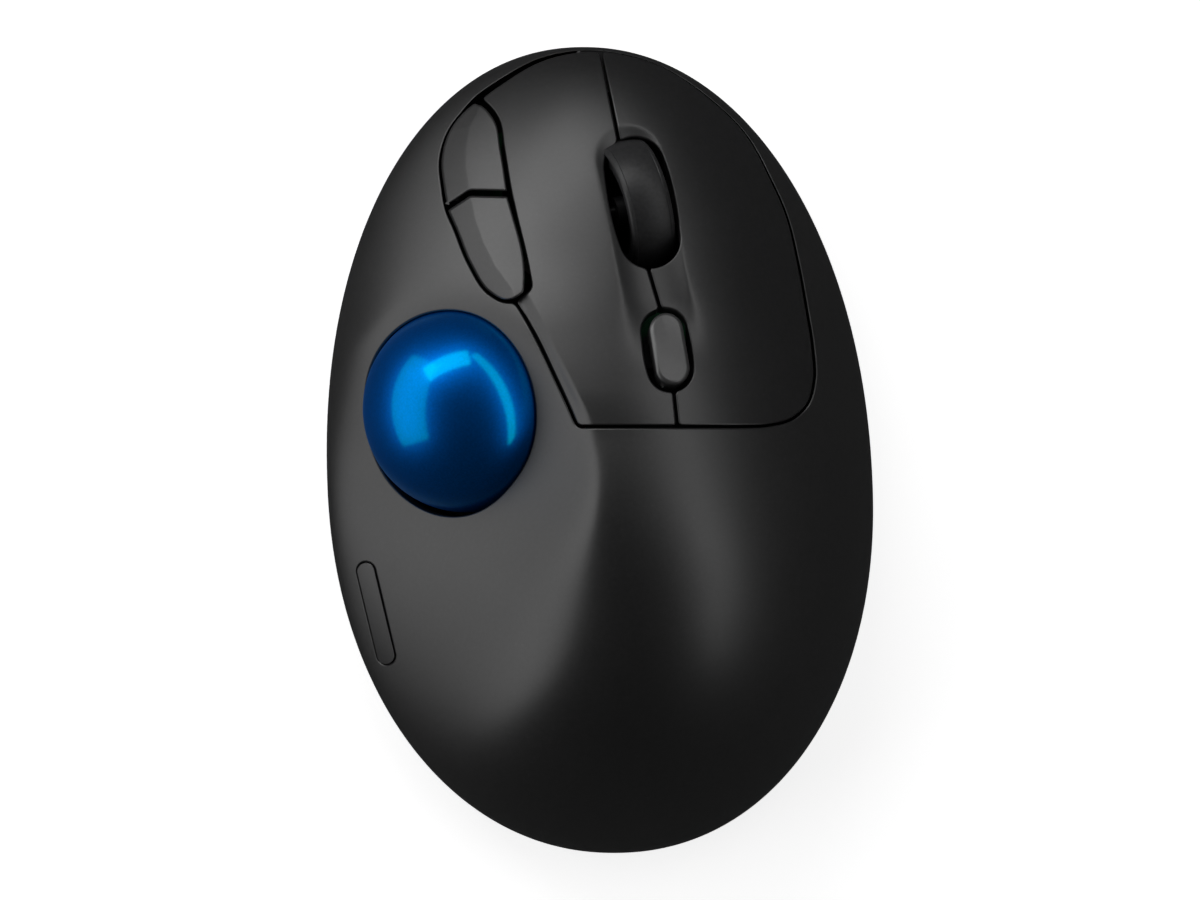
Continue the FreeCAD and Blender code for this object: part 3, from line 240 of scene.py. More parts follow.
def surface(points, crisp=CRISP):
    """Points of the skin for points of the unrolled plan."""
    a, b, reach = gauge_axes(points[:, 0], points[:, 1])
    s = np.maximum(power_norm(a, b), TINY)
    t = np.clip(s - PLAIN, 0.0, EASE)
    m = np.where(s < PLAIN, s, PLAIN + t - t * t / (2 * EASE))
    a = a * m / s
    b = b * m / s
    y = b * reach
    x = a * HALF_WIDTH - OUTLINE_LEAN * y
    y = y + WIDEST_Y
    palm = palm_surface(x, y)
    thumb = thumb_surface(x, y)
    blend = crisp + RIDGE_FADE / (1 + np.exp((y - RIDGE_FADE_Y) / RIDGE_FADE_RUN))
    top = (palm + thumb - np.hypot(palm - thumb, blend)) / 2
    top = top + (thumb_crease(x, y) if crisp == BUTTON_CRISP else key_band(x, y))
    edge = np.sqrt(np.maximum(0.0, 1 - m ** RIM_POWER))
    z = RIM_HEIGHT + (top - RIM_HEIGHT - wheel_trough(x, y)) * edge
    phi = np.clip((s - EQUATOR) / TUCK_SPAN, 0.0, 1.0) * math.pi / 2
    ga = np.abs(a) ** (OUTLINE_POWER - 1) * np.sign(a) / HALF_WIDTH
    gb = np.abs(b) ** (OUTLINE_POWER - 1) * np.sign(b) / reach + ga * OUTLINE_LEAN
    size = np.maximum(np.hypot(ga, gb), TINY)
    tuck = TUCK_IN * (1 - np.cos(phi))
    z = np.where(s > EQUATOR, RIM_HEIGHT - TUCK_HEIGHT * np.sin(phi), z)
    return np.stack([x - ga / size * tuck, y - gb / size * tuck, z], -1)


def unit(vectors):
    """Vectors of length 1 in the same directions."""
    return vectors / np.maximum(np.linalg.norm(vectors, axis=-1, keepdims=True), 1e-12)


def normals(points, crisp=CRISP, step=0.02):
    """Outward normals of the skin."""
    dx = np.array([step, 0.0])
    dy = np.array([0.0, step])
    along_x = surface(points + dx, crisp) - surface(points - dx, crisp)
    along_y = surface(points + dy, crisp) - surface(points - dy, crisp)
    return unit(np.cross(along_x, along_y))


def unrolled(points):
    """Points of the unrolled plan for points of the real plan."""
    points = np.asarray(points, float)
    a, b, reach = gauge_axes(points[:, 0], points[:, 1])
    m = np.clip(power_norm(a, b), TINY, 0.99999)
    t = EASE * (1 - np.sqrt(np.maximum(0.0, 1 - 2 * (np.maximum(m, PLAIN) - PLAIN) / EASE)))
    scale = np.where(m < PLAIN, 1.0, (PLAIN + t) / m)
    y = b * scale * reach
    x = a * scale * HALF_WIDTH - OUTLINE_LEAN * y
    return np.stack([x, y + WIDEST_Y], -1)


# ---------------------------------------------------------------- outlines in the plan
def fine_line(points, step=0.15):
    """Smooth line through a few points."""
    points = np.asarray(points, float)
    gaps = np.linalg.norm(np.diff(points, axis=0), axis=1)
    if len(points) == 2:
        count = max(2, int(gaps[0] / step))
        return points[0] + np.linspace(0, 1, count)[:, None] * (points[1] - points[0])
    knots = np.concatenate([[0], np.cumsum(gaps)])
    slopes = np.gradient(points, knots, axis=0, edge_order=2)
    where = np.linspace(0, knots[-1], max(3, int(knots[-1] / step)))
    i = np.clip(np.searchsorted(knots, where, side="right") - 1, 0, len(knots) - 2)
    h = (knots[i + 1] - knots[i])[:, None]
    t = (where - knots[i])[:, None] / h
    return ((1 + 2 * t) * (1 - t) ** 2 * points[i] + t * (1 - t) ** 2 * h * slopes[i]
            + t * t * (3 - 2 * t) * points[i + 1] + t * t * (t - 1) * h * slopes[i + 1])


def run_length(line):
    """Distance along a line to each of its points."""
    return np.concatenate([[0], np.cumsum(np.linalg.norm(np.diff(line, axis=0), axis=1))])


def trimmed(line, cut):
    """Line without its first and last stretch, each at most 0.35 of its length."""
    knots = run_length(line)
    cut = min(cut, 0.35 * knots[-1])
    inner = line[(knots > cut) & (knots < knots[-1] - cut)]
    ends = [np.array([np.interp(w, knots, line[:, 0]), np.interp(w, knots, line[:, 1])])
            for w in (cut, knots[-1] - cut)]
    return np.vstack([ends[0], inner, ends[1]])


def even(loop, step):
    """Closed line with evenly spaced points."""
    closed = np.vstack([loop, loop[:1]])
    knots = run_length(closed)
    where = np.linspace(0, knots[-1], max(12, int(round(knots[-1] / step))), endpoint=False)
    return np.stack([np.interp(where, knots, closed[:, k]) for k in (0, 1)], -1)


def closed_loop(stretches, corner=0.9, step=0.3):
    """Closed outline of smooth stretches that meet in rounded corners."""
    lines = [trimmed(fine_line(stretch), corner) for stretch in stretches]
    out = []
    for line, following, stretch in zip(lines, lines[1:] + lines[:1], stretches):
        out.append(line)
        t = np.linspace(0, 1, 8)[1:-1, None]
        tip = np.asarray(stretch[-1], float)
        out.append((1 - t) ** 2 * line[-1] + 2 * t * (1 - t) * tip + t * t * following[0])
    return even(np.vstack(out), step)


def pill_arc(centre, length, width, yaw, start, stop):
    """Part of a stadium outline; 90 degrees is its front tip, and angles may fall or rise."""
    turn = math.radians(yaw)
    right = np.array([math.cos(turn), math.sin(turn)])
    ahead = np.array([-math.sin(turn), math.cos(turn)])
    angles = np.radians(np.linspace(start, stop, max(8, int(abs(stop - start) / 7))))
    half = (length - width) / 2
    cap = np.where(np.sin(angles) >= 0, half, -half)[:, None]
    return (np.asarray(centre) + ahead * cap
            + width / 2 * (np.cos(angles)[:, None] * right + np.sin(angles)[:, None] * ahead))


def inward(loop):
    """Unit vectors to the left of a closed line, which is where its material is."""
    tangent = np.roll(loop, -1, axis=0) - np.roll(loop, 1, axis=0)
    return unit(np.stack([-tangent[:, 1], tangent[:, 0]], -1))


def inset(loop, distance):
    """Closed line moved into its material."""
    return loop + inward(loop) * distance


def inside(points, loops):
    """Which points lie in the region that the loops bound."""
    odd = np.zeros(len(points), bool)
    for loop in loops:
        x0, y0 = loop[:, 0], loop[:, 1]
        x1, y1 = np.roll(x0, -1), np.roll(y0, -1)
        for first in range(0, len(points), CHUNK):
            px = points[first:first + CHUNK, 0][:, None]
            py = points[first:first + CHUNK, 1][:, None]
            crosses = (y0 > py) != (y1 > py)
            level = np.where(y1 == y0, 1.0, y1 - y0)
            hits = crosses & (px < (x1 - x0) * (py - y0) / level + x0)
            odd[first:first + CHUNK] ^= (hits.sum(1) % 2).astype(bool)
    return odd


def clear_of(points, edge, distance):
    """Which points keep a distance from all edge points."""
    keep = np.ones(len(points), bool)
    for first in range(0, len(points), CHUNK):
        chunk = points[first:first + CHUNK]
        gap = np.hypot(chunk[:, 0][:, None] - edge[:, 0], chunk[:, 1][:, None] - edge[:, 1])
        keep[first:first + CHUNK] = gap.min(1) > distance
    return keep


def hex_grid(low, high, step):
    """Points of an even triangle grid over a rectangle."""
    rows = int((high[1] - low[1]) / (step * HEX_ROW)) + 1
    columns = int((high[0] - low[0]) / step) + 2
    j, i = np.meshgrid(np.arange(rows), np.arange(columns), indexing="ij")
    x = low[0] + (i + 0.5 * (j % 2)) * step
    y = low[1] + j * step * HEX_ROW
    return np.stack([x.ravel(), y.ravel()], -1)


def between(values, low, high):
    """Which values lie between two limits."""
    return (values > low) & (values < high)


def needs_detail(points):
    """Which points lie near a crease of the surface or the lip of the wheel groove."""
    place = surface(points)
    x, y = place[:, 0], place[:, 1]
    drop = np.abs(palm_surface(x, y) - thumb_surface(x, y))
    ridge = (drop < RIDGE_DETAIL) & (y > RIDGE_DETAIL_Y)
    lip = (np.abs(trough_edge(x, y)) < LIP_DETAIL) & (y > LIP_DETAIL_Y)
    crease = (np.abs(crease_distance(x, y)) < CREASE_DETAIL) & between(y, CREASE_Y[0], CREASE_Y[-1])
    band = between(band_distance(x, y), *BAND_DETAIL) & between(y, *BAND_DETAIL_Y)
    return ridge | lip | crease | band


# ---------------------------------------------------------------- pieces of skin
def add_mesh(name, vertices, faces, corner_normals, material):
    """Object with its own corner normals, from points in millimetres."""
    mesh = bpy.data.meshes.new(name)
    mesh.from_pydata([tuple(v) for v in vertices * MM], [], faces)
    mesh.polygons.foreach_set("use_smooth", [True] * len(mesh.polygons))
    mesh.update()
    mesh.validate(verbose=False)
    if corner_normals is not None:
        mesh.normals_split_custom_set([tuple(n) for n in corner_normals])
    mesh.materials.append(material)
    item = bpy.data.objects.new(name, mesh)
    bpy.context.scene.collection.objects.link(item)
    return item


def outward(points, upright):
    """Soft normals of the skin, straight up near the upright loops, whose walls stand plumb."""
    reach, fade, shortest = 5.0, 4.0, 0.5
    out = normals(points, SOFT, 0.5)
    for loop in upright:
        near = np.array([np.min(np.hypot(loop[:, 0] - x, loop[:, 1] - y)) for x, y in points])
        weight = smooth_step((reach - near) / fade)[:, None]
        plumb = np.array([0.0, 0.0, 1.0]) * np.maximum(out[:, 2:], shortest)
        out = out * (1 - weight) + plumb * weight
    return out


def clear_of_ball(points, gap=0.3):
    """Points moved out of the ball's room."""
    away = points - BALL_CENTRE
    far = np.linalg.norm(away, axis=1, keepdims=True)
    return np.where(far < BALL_RADIUS + gap, BALL_CENTRE + away / far * (BALL_RADIUS + gap), points)


def filled(loops, grid, fine):
    """Plan points and triangles inside the loops, and the new number of each loop point."""
    edge = np.vstack(loops)
    low, high = edge.min(0), edge.max(0)
    coarse = hex_grid(low, high, grid)
    dense = hex_grid(low, high, fine)
    coarse = coarse[~needs_detail(coarse)]
    dense = dense[needs_detail(dense)]
    field = []
    for points, spacing in ((coarse, grid), (dense, fine)):
        points = points[inside(points, loops)]
        field.append(points[clear_of(points, edge, spacing * EDGE_ROOM)])
    ties = []
    start = 0
    for loop in loops:
        ties += [(start + i, start + (i + 1) % len(loop)) for i in range(len(loop))]
        start += len(loop)
    out, _, triangles, origin, _, _ = delaunay_2d_cdt(
        [Vector(p) for p in np.vstack([edge] + field)], ties, [], 0, MERGE)
    plan = np.array([tuple(v) for v in out])
    renumber = {source: index for index, sources in enumerate(origin) for source in sources}
    triangles = np.array([t for t in triangles if len(t) == 3])
    return plan, triangles[inside(plan[triangles].mean(1), loops)], renumber


def skin_piece(name, material, loops, roll=0.3, thick=2.0, lift=0.0, crisp=CRISP,
               grid=1.1, fine=0.5, keep_clear=False, steps=5, upright=()):
    """Closed sheet of skin inside the loops, with rolled edges, side walls and an inner face.

    It is lifted along the outward normals, and keep_clear keeps its inner face off the ball.
    """
    plan, triangles, renumber = filled([inset(loop, roll) for loop in loops], grid, fine)
    count = len(plan)
    up = outward(plan, upright)
    outer = surface(plan, crisp) + lift * unit(up)
    inner = surface(plan, crisp) - thick * up
    if keep_clear:
        inner = clear_of_ball(inner)
    vertices = [outer, inner]
    outer_normals = normals(plan, crisp)
    faces = [tuple(t) for t in triangles]
    shade = [outer_normals[t] for t in triangles]
    faces += [tuple(t[::-1] + count) for t in triangles]
    shade += [-unit(up[t[::-1]]) for t in triangles]
    base = 2 * count
    start = 0
    probe = 0.05
    angles = np.linspace(0, math.pi / 2, steps)
    for loop in loops:
        size = len(loop)
        heading = inward(loop)
        ring0 = np.array([renumber[start + i] for i in range(size)])
        start += size
        out_way = surface(loop - heading * probe, crisp) - surface(loop + heading * probe, crisp)
        ids = [ring0]
        tones = [outer_normals[ring0]]
        for angle in angles[1:]:
            spot = loop + heading * roll * (1 - math.sin(angle))
            rise = lift - roll * (1 - math.cos(angle))
            vertices.append(surface(spot, crisp) + rise * unit(outward(spot, upright)))
            lean = normals(spot, crisp)
            side = unit(out_way - (out_way * lean).sum(-1, keepdims=True) * lean)
            ids.append(np.arange(size) + base)
            base += size
            tones.append(unit(math.cos(angle) * lean + math.sin(angle) * side))
        foot = surface(loop, crisp) - thick * outward(loop, upright)
        vertices.append(clear_of_ball(foot, 0.2) if keep_clear else foot)
        ids.append(np.arange(size) + base)
        base += size
        ids.append(ring0 + count)
        under = -unit(up[ring0])
        strips = list(zip(tones, tones[1:])) + [(side, side), (under, under)]
        following = np.roll(np.arange(size), -1)
        for near, far, (near_tone, far_tone) in zip(ids, ids[1:], strips):
            for i, j in enumerate(following):
                faces.append((far[i], far[j], near[j], near[i]))
                shade.append([far_tone[i], far_tone[j], near_tone[j], near_tone[i]])
    corner_normals = np.vstack([np.asarray(s) for s in shade])
    return add_mesh(name, np.vstack(vertices), [tuple(int(v) for v in f) for f in faces],
                    corner_normals, material)


def revolve(name, profile, material, place, segments=96):
    """Closed ring about local x from (x, radius) points, sharp at turns over 35 degrees."""
    along, radius = np.asarray(profile, float).T
    size = len(along)
    rings = [np.stack([along, radius * math.cos(angle), radius * math.sin(angle)], -1)
             for angle in np.linspace(0, 2 * math.pi, segments, endpoint=False)]
    turned = np.array([place @ Vector(p) for p in np.vstack(rings)])
    faces = []
    for k in range(segments):
        n = (k + 1) % segments
        for i in range(size):
            j = (i + 1) % size
            faces.append((k * size + i, k * size + j, n * size + j, n * size + i))
    item = add_mesh(name, turned, faces, None, material)
    item.data.set_sharp_from_angle(angle=math.radians(35))
    return item


# ---------------------------------------------------------------- materials
# depth of the grain in metres, size of a cloud in grains, and how far clouds change the roughness
GRAIN_DEPTH = 0.00002
CLOUD_SIZE = 25
ROUGH_SPREAD = 0.04


def plastic(name, colour, rough, grain=900.0, bump=0.05, spread=0.12, metallic=0.0, coat=0.0,
            coat_rough=0.1, specular=0.5, speck=0.0):
    """Moulded plastic or metal: fine grain in colour and height, and clouds in roughness.

    The colour varies by the share spread; speck brightens the rare highest grains.
    """
    material = bpy.data.materials.new(name)
    material.use_nodes = True
    tree = material.node_tree
    shader = tree.nodes["Principled BSDF"]
    shader.inputs["Metallic"].default_value = metallic
    shader.inputs["Specular IOR Level"].default_value = specular
    shader.inputs["Coat Weight"].default_value = coat
    shader.inputs["Coat Roughness"].default_value = coat_rough
    where = tree.nodes.new("ShaderNodeTexCoord")
    fine = tree.nodes.new("ShaderNodeTexNoise")
    fine.inputs["Scale"].default_value = grain
    fine.inputs["Detail"].default_value = 3.0
    cloud = tree.nodes.new("ShaderNodeTexNoise")
    cloud.inputs["Scale"].default_value = grain / CLOUD_SIZE
    cloud.inputs["Detail"].default_value = 2.0
    tree.links.new(where.outputs["Object"], fine.inputs["Vector"])
    tree.links.new(where.outputs["Object"], cloud.inputs["Vector"])
    tones = tree.nodes.new("ShaderNodeValToRGB")
    low = [max(0.0, c * (1 - spread)) for c in colour]
    high = [min(1.0, c * (1 + spread)) for c in colour]
    tones.color_ramp.elements[0].color = (*low, 1)
    tones.color_ramp.elements[0].position = 0.3
    tones.color_ramp.elements[1].color = (*high, 1)
    tones.color_ramp.elements[1].position = 0.7
    if speck:
        bright = tones.color_ramp.elements.new(0.78)
        bright.color = (*[min(1.0, c + speck) for c in colour], 1)
    tree.links.new(fine.outputs["Fac"], tones.inputs["Fac"])
    tree.links.new(tones.outputs["Color"], shader.inputs["Base Color"])
    span = tree.nodes.new("ShaderNodeMapRange")
    span.inputs["To Min"].default_value = max(0.02, rough - ROUGH_SPREAD)
    span.inputs["To Max"].default_value = rough + ROUGH_SPREAD
    tree.links.new(cloud.outputs["Fac"], span.inputs["Value"])
    tree.links.new(span.outputs["Result"], shader.inputs["Roughness"])
    if bump:
        height = tree.nodes.new("ShaderNodeBump")
        height.inputs["Strength"].default_value = bump
        height.inputs["Distance"].default_value = GRAIN_DEPTH
        tree.links.new(fine.outputs["Fac"], height.inputs["Height"])
        tree.links.new(height.outputs["Normal"], shader.inputs["Normal"])
    return material


SHELL = plastic("satin_graphite", (0.013, 0.013, 0.0133), 0.40, 1500, 0.25, 0.2,
                specular=0.9, speck=0.01)
KEYS = plastic("satin_key", (0.012, 0.012, 0.0125), 0.37, 1500, 0.28, 0.2,
               specular=0.82, speck=0.012)
BUTTONS = plastic("satin_button", (0.02, 0.02, 0.0205), 0.40, 1500, 0.22, 0.15,
                  specular=0.88, speck=0.01)
# the pill's coat is a real gloss. Its base colour is lighter than the buttons' plastic, which
# paints in the highlight its top catches
PILL_GLOSS_AND_PAINTED_LIGHT = plastic("glossy_pill_painted_highlight", (0.034, 0.034, 0.0345), 0.42, 1500, 0.2, 0.15,
                      specular=1.0, speck=0.01, coat=0.7, coat_rough=0.42)
BASE = plastic("base_plastic", (0.022, 0.022, 0.023), 0.5, 1200, 0.3, 0.2)
TYRE = plastic("tyre_rubber", (0.018, 0.018, 0.019), 0.48, 1600, 0.4, 0.25)
HUB = plastic("hub_plastic", (0.03, 0.03, 0.032), 0.4, 1000, 0.15)
STEEL = plastic("bright_steel", (0.55, 0.55, 0.56), 0.28, 700, 0.08, 0.06, metallic=1.0)
# the axle's steel is darkened: painted shade for the slot beside the tyre, where its end shows
STEEL_PAINTED_SHADE = plastic("steel_painted_shade", (0.05, 0.05, 0.05), 0.4, 700, 0.08, 0.06, metallic=1.0)
# the wheel carrier's nylon is made nearly black: painted shade for the gap beside the tyre, where
# it shows
NYLON_PAINTED_SHADE = plastic("nylon_painted_shade", (0.016, 0.016, 0.016), 0.5, 800, 0.15, 0.05)
FRAME = plastic("black_frame", (0.012, 0.012, 0.013), 0.5, 900, 0.2, 0.2)
BALL = plastic("pearl_blue", (0.0, 0.14, 0.62), 0.4, 2600, 0.0, 0.12, metallic=0.9, specular=0.0)
CERAMIC = plastic("ceramic_white", (0.75, 0.74, 0.70), 0.2, 700, 0.0, 0.04)
WINDOW = plastic("smoked_window", (0.012, 0.012, 0.0125), 0.33, 1400, 0.1, 0.12, specular=0.8)
LENS = plastic("clear_lens", (0.35, 0.02, 0.02), 0.08, 700, 0.0, 0.1, coat=1.0)
BOARD = plastic("board_green", (0.01, 0.09, 0.035), 0.42, 900, 0.15, 0.25)
CHIP = plastic("chip_black", (0.02, 0.02, 0.02), 0.55, 1500, 0.3, 0.2)
SWITCH = plastic("switch_black", (0.025, 0.025, 0.028), 0.4, 900, 0.1, 0.15)
CELL = plastic("cell_wrap", (0.10, 0.16, 0.30), 0.33, 500, 0.1, 0.1)
FEET = plastic("foot_rubber", (0.02, 0.02, 0.02), 0.6, 1400, 0.35, 0.2)


def add_lacquer(material, tint, rough, share):
    """Mix a tinted glossy layer over a material."""
    tree = material.node_tree
    gloss = tree.nodes.new("ShaderNodeBsdfAnisotropic")
    gloss.inputs["Color"].default_value = (*tint, 1)
    gloss.inputs["Roughness"].default_value = rough
    mix = tree.nodes.new("ShaderNodeMixShader")
    mix.inputs["Fac"].default_value = share
    tree.links.new(tree.nodes["Principled BSDF"].outputs["BSDF"], mix.inputs[1])
    tree.links.new(gloss.outputs["BSDF"], mix.inputs[2])
    tree.links.new(mix.outputs["Shader"], tree.nodes["Material Output"].inputs["Surface"])


add_lacquer(BALL, (0.0, 0.55, 0.62), 0.12, 0.14)


def paint_cad(material, *names):
    """Give carried-over CAD nodes their materials; some of these are darkened to paint in shade."""
    for name in names:
        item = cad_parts[name]
        if not item.material_slots:
            item.data.materials.append(material)
        for slot in item.material_slots:
            slot.material = material


# ---------------------------------------------------------------- outlines of keys and buttons
# half the gap between pieces, the gap between the thumb buttons and the rounding of their corners
HALF_GAP = 0.22
SPLIT_GAP = 0.5
THUMB_CORNER = 0.45
# y of the seam behind the keys, then the edges, counter-clockwise from the front
KEY_REAR_Y = 3.8
FRONT_EDGE = [(0.1, 65.67), (-9.8, 64.0), (-16.2, 60.3), (-19.7, 57.75)]
LEFT_EDGE = [FRONT_EDGE[-1], (-16.9, 54.45), (-15.95, 49.5), (-14.85, 42.9), (-13.95, 38.8),
             (-11.8, 29.7), (-11.2, 26.4)]
LEFT_NOTCH = [LEFT_EDGE[-1], BAND_POINT]
REAR_LEFT = [BAND_POINT, (-10.3, 18.2), (-7.2, 11.6), (-4.9, 6.6), (-3.7, KEY_REAR_Y)]
REAR_SEAM = (12.6, KEY_REAR_Y)
RIGHT_EDGE = [(18.5, KEY_REAR_Y), (23.0, KEY_REAR_Y), (27.4, 4.0), (31.4, 5.1), (33.9, 7.4),
              (35.1, 11.55), (34.9, 16.5), (33.9, 23.1), (32.6, 30.5), (30.6, 38.8), (28.1, 44.55),
              (24.0, 52.0), (18.2, 57.75), (10.0, 63.2), FRONT_EDGE[0]]
THUMB_FRONT = [(-20.6, 57.2), (-22.9, 55.2), (-24.7, 52.8), (-26.2, 47.85), (-25.8, 42.9),
               (-25.2, 39.6)]
THUMB_REAR = [THUMB_FRONT[-1], (-23.8, 36.3), (-21.4, 30.5), (-18.1, 25.6), (-15.6, 24.3),
              (-13.9, 24.5), (-12.2, 25.7)]
SPLIT = [THUMB_FRONT[-1], (-21.3, 42.1), (-15.0, 41.9)]
# pill outlines: centre, length, width and yaw in degrees
SLOT = ((6.95, 40.5), 21.4, 9.5, 12.0)
PILL_HOLE = ((11.0, 16.3), 13.3, 7.1, 9.2)
DPI_PILL = ((11.25, 16.3), 11.8, 5.5, 9.2)
WINDOW_PILL = ((-36.9, -26.9), 17.2, 3.0, 13.4)
# where the seam between the keys meets the wheel slot, in degrees around the slot's outline
SLOT_FRONT = 110.0
SLOT_REAR = 254.0


def whole_pill(pill):
    """Closed pill outline in the unrolled plan."""
    return unrolled(even(pill_arc(*pill, 0, 359), 0.25))


def left_key_loop():
    """Left key: its outer edges, then the left side of the pill hole and of the wheel slot."""
    pill = pill_arc(*PILL_HOLE, 270.0, 90.0)
    slot = pill_arc(*SLOT, SLOT_REAR, SLOT_FRONT)
    return closed_loop([FRONT_EDGE, LEFT_EDGE, LEFT_NOTCH, REAR_LEFT, [REAR_LEFT[-1], REAR_SEAM],
                        [REAR_SEAM, pill[0]], pill, [pill[-1], slot[0]], slot,
                        [slot[-1], FRONT_EDGE[0]]])


def right_key_loop():
    """Right key: its outer edge, then the right side of the wheel slot and of the pill hole."""
    pill = pill_arc(*PILL_HOLE, 90.0, -90.0)
    slot = pill_arc(*SLOT, SLOT_FRONT, SLOT_REAR - 360.0)
    return closed_loop([[REAR_SEAM, (15.0, KEY_REAR_Y)] + RIGHT_EDGE, [RIGHT_EDGE[-1], slot[0]],
                        slot, [slot[-1], pill[0]], pill, [pill[-1], REAR_SEAM]])


def forward_loop():
    """Front thumb button, ahead of the split."""
    ahead = [(x, y + SPLIT_GAP / 2) for x, y in SPLIT]
    inner = [ahead[-1], (-16.15, 49.5), (-17.1, 54.1), (-19.1, 56.6)]
    return closed_loop([inner, [inner[-1], THUMB_FRONT[0]], THUMB_FRONT, ahead[:2], ahead[1:]],
                       THUMB_CORNER)


def back_loop():
    """Rear thumb button, behind the split."""
    behind = [(x, y - SPLIT_GAP / 2) for x, y in SPLIT]
    inner = [THUMB_REAR[-1], (-12.1, 29.7), (-14.15, 38.8), behind[-1]]
    return closed_loop([[behind[0]] + THUMB_REAR[1:], inner, behind[:0:-1], behind[1::-1]],
                       THUMB_CORNER)


def well_loop():
    """Edge of the opening in the upper shell for keys and thumb buttons together."""
    front = [(0.1, 65.72), (-9.8, 64.5), (-16.2, 61.1), (-20.4, 58.2)]
    side = [front[-1], (-22.9, 55.3), *THUMB_FRONT[2:], *THUMB_REAR[1:5], REAR_LEFT[0]]
    rear = [REAR_LEFT[-1], (4.0, KEY_REAR_Y), (12.0, KEY_REAR_Y)]
    return closed_loop([front, side, REAR_LEFT, rear + RIGHT_EDGE[:-1] + [front[0]]])


def outer_edge():
    """Lower edge of the upper shell, on the parting line."""
    level = EQUATOR + TUCK_SPAN * math.asin((RIM_HEIGHT - PARTING) / TUCK_HEIGHT) / (math.pi / 2)
    angles = np.linspace(0, 2 * math.pi, 700, endpoint=False)
    power = 2 / OUTLINE_POWER
    a = level * np.sign(np.cos(angles)) * np.abs(np.cos(angles)) ** power
    b = level * np.sign(np.sin(angles)) * np.abs(np.sin(angles)) ** power
    y = b * np.where(b > 0, FRONT_REACH, REAR_REACH)
    return even(np.stack([a * HALF_WIDTH - OUTLINE_LEAN * y, y + WIDEST_Y], -1), 0.5)


def ball_opening():
    """Where the skin comes within a small gap of the ball, wider at the rear.

    A bisection looks for the skin on every meridian around the bore's axis.
    """
    gap, more_behind, behind = 0.35, 0.7, np.array([-0.2, -0.9, -0.3])
    side = unit(np.cross(BALL_AXIS, [0, 0, 1.0]))
    other = np.cross(BALL_AXIS, side)
    angles = np.linspace(0, 2 * math.pi, 360, endpoint=False)
    around = np.cos(angles)[:, None] * side + np.sin(angles)[:, None] * other
    reach = BALL_RADIUS + gap + more_behind * smooth_step((around @ behind - 0.3) / 0.6)
    low = np.full(len(angles), 0.2)
    high = np.full(len(angles), math.pi / 2 + 0.3)
    for _ in range(40):
        polar = (low + high) / 2
        way = np.cos(polar)[:, None] * BALL_AXIS + np.sin(polar)[:, None] * around
        spot = BALL_CENTRE + reach[:, None] * way
        above = spot[:, 2] > surface(unrolled(spot[:, :2]))[:, 2]
        low = np.where(above, polar, low)
        high = np.where(above, high, polar)
    loop = unrolled(spot[:, :2])
    area = np.sum(loop[:, 0] * np.roll(loop[:, 1], -1) - np.roll(loop[:, 0], -1) * loop[:, 1])
    return even(loop if area > 0 else loop[::-1], 0.3)


# ---------------------------------------------------------------- build
well = inset(unrolled(well_loop()), -HALF_GAP)[::-1]
opening = ball_opening()[::-1]
window_edge = whole_pill(WINDOW_PILL)
upper = skin_piece("upper_skin", SHELL,
                   [outer_edge(), well, opening, inset(window_edge, -0.1)[::-1]],
                   roll=0.32, keep_clear=True, upright=[well])
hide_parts("upper_shell")
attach(upper, "casing")

window = skin_piece("light_window", WINDOW, [inset(window_edge, 0.05)],
                    roll=0.12, thick=1.6, grid=0.8)
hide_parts("led_window")
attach(window, "casing")

for name, node, loop in (("left_main_key", "left_key", left_key_loop()),
                         ("right_main_key", "right_key", right_key_loop())):
    edge = inset(unrolled(loop), HALF_GAP)
    key = skin_piece(name, KEYS, [edge], roll=0.3, thick=2.0, grid=0.9, fine=0.4,
                     upright=[well, unrolled(fine_line(LEFT_EDGE))])
    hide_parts(node)
    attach(key, node)

for name, node, loop in (("forward_thumb_button", "forward_button", forward_loop()),
                         ("back_thumb_button", "back_button", back_loop())):
    edge = inset(unrolled(loop), HALF_GAP)
    button = skin_piece(name, BUTTONS, [edge], roll=0.4, thick=1.8, lift=0.7,
                        crisp=BUTTON_CRISP, grid=0.5, fine=0.25, upright=[edge])
    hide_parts(node)
    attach(button, node)

dpi = skin_piece("dpi_pill", PILL_GLOSS_AND_PAINTED_LIGHT, [whole_pill(DPI_PILL)],
                 roll=0.7, thick=2.4, lift=0.9, grid=0.6, steps=7)
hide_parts("dpi_button")
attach(dpi, "dpi_button")

# the wheel's centre, and how far its axle turns to the front and leans
WHEEL_CENTRE = (5.4, 39.7, 20.8)
WHEEL_YAW = math.radians(13)
WHEEL_LEAN = math.radians(15)


def tyre_profile():
    """Section of the tyre: gently crowned, with a small bead along each shoulder."""
    half = 3.7
    top = 11.3
    shoulder = 0.7
    crown = 0.36
    points = [(-half + 0.3, 9.85), (-half, 10.1)]
    points += [(-half + shoulder * (1 - math.cos(a)), top - 0.45 - shoulder * (1 - math.sin(a)))
               for a in np.linspace(0.0, math.radians(70), 6)]
    points += [(-3.0, top - crown), (-2.88, top - 0.40)]
    points += [(x, top - crown * (x / 2.8) ** 2) for x in np.linspace(-2.75, -0.25, 8)]
    return points + [(-x, r) for x, r in reversed(points)]


tyre = revolve("scroll_tyre", tyre_profile(), TYRE,
               Matrix.Translation(WHEEL_CENTRE) @ Matrix.Rotation(WHEEL_YAW, 4, "Z")
               @ Matrix.Rotation(WHEEL_LEAN, 4, "Y"))
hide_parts("wheel_tyre")
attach(tyre, "wheel")


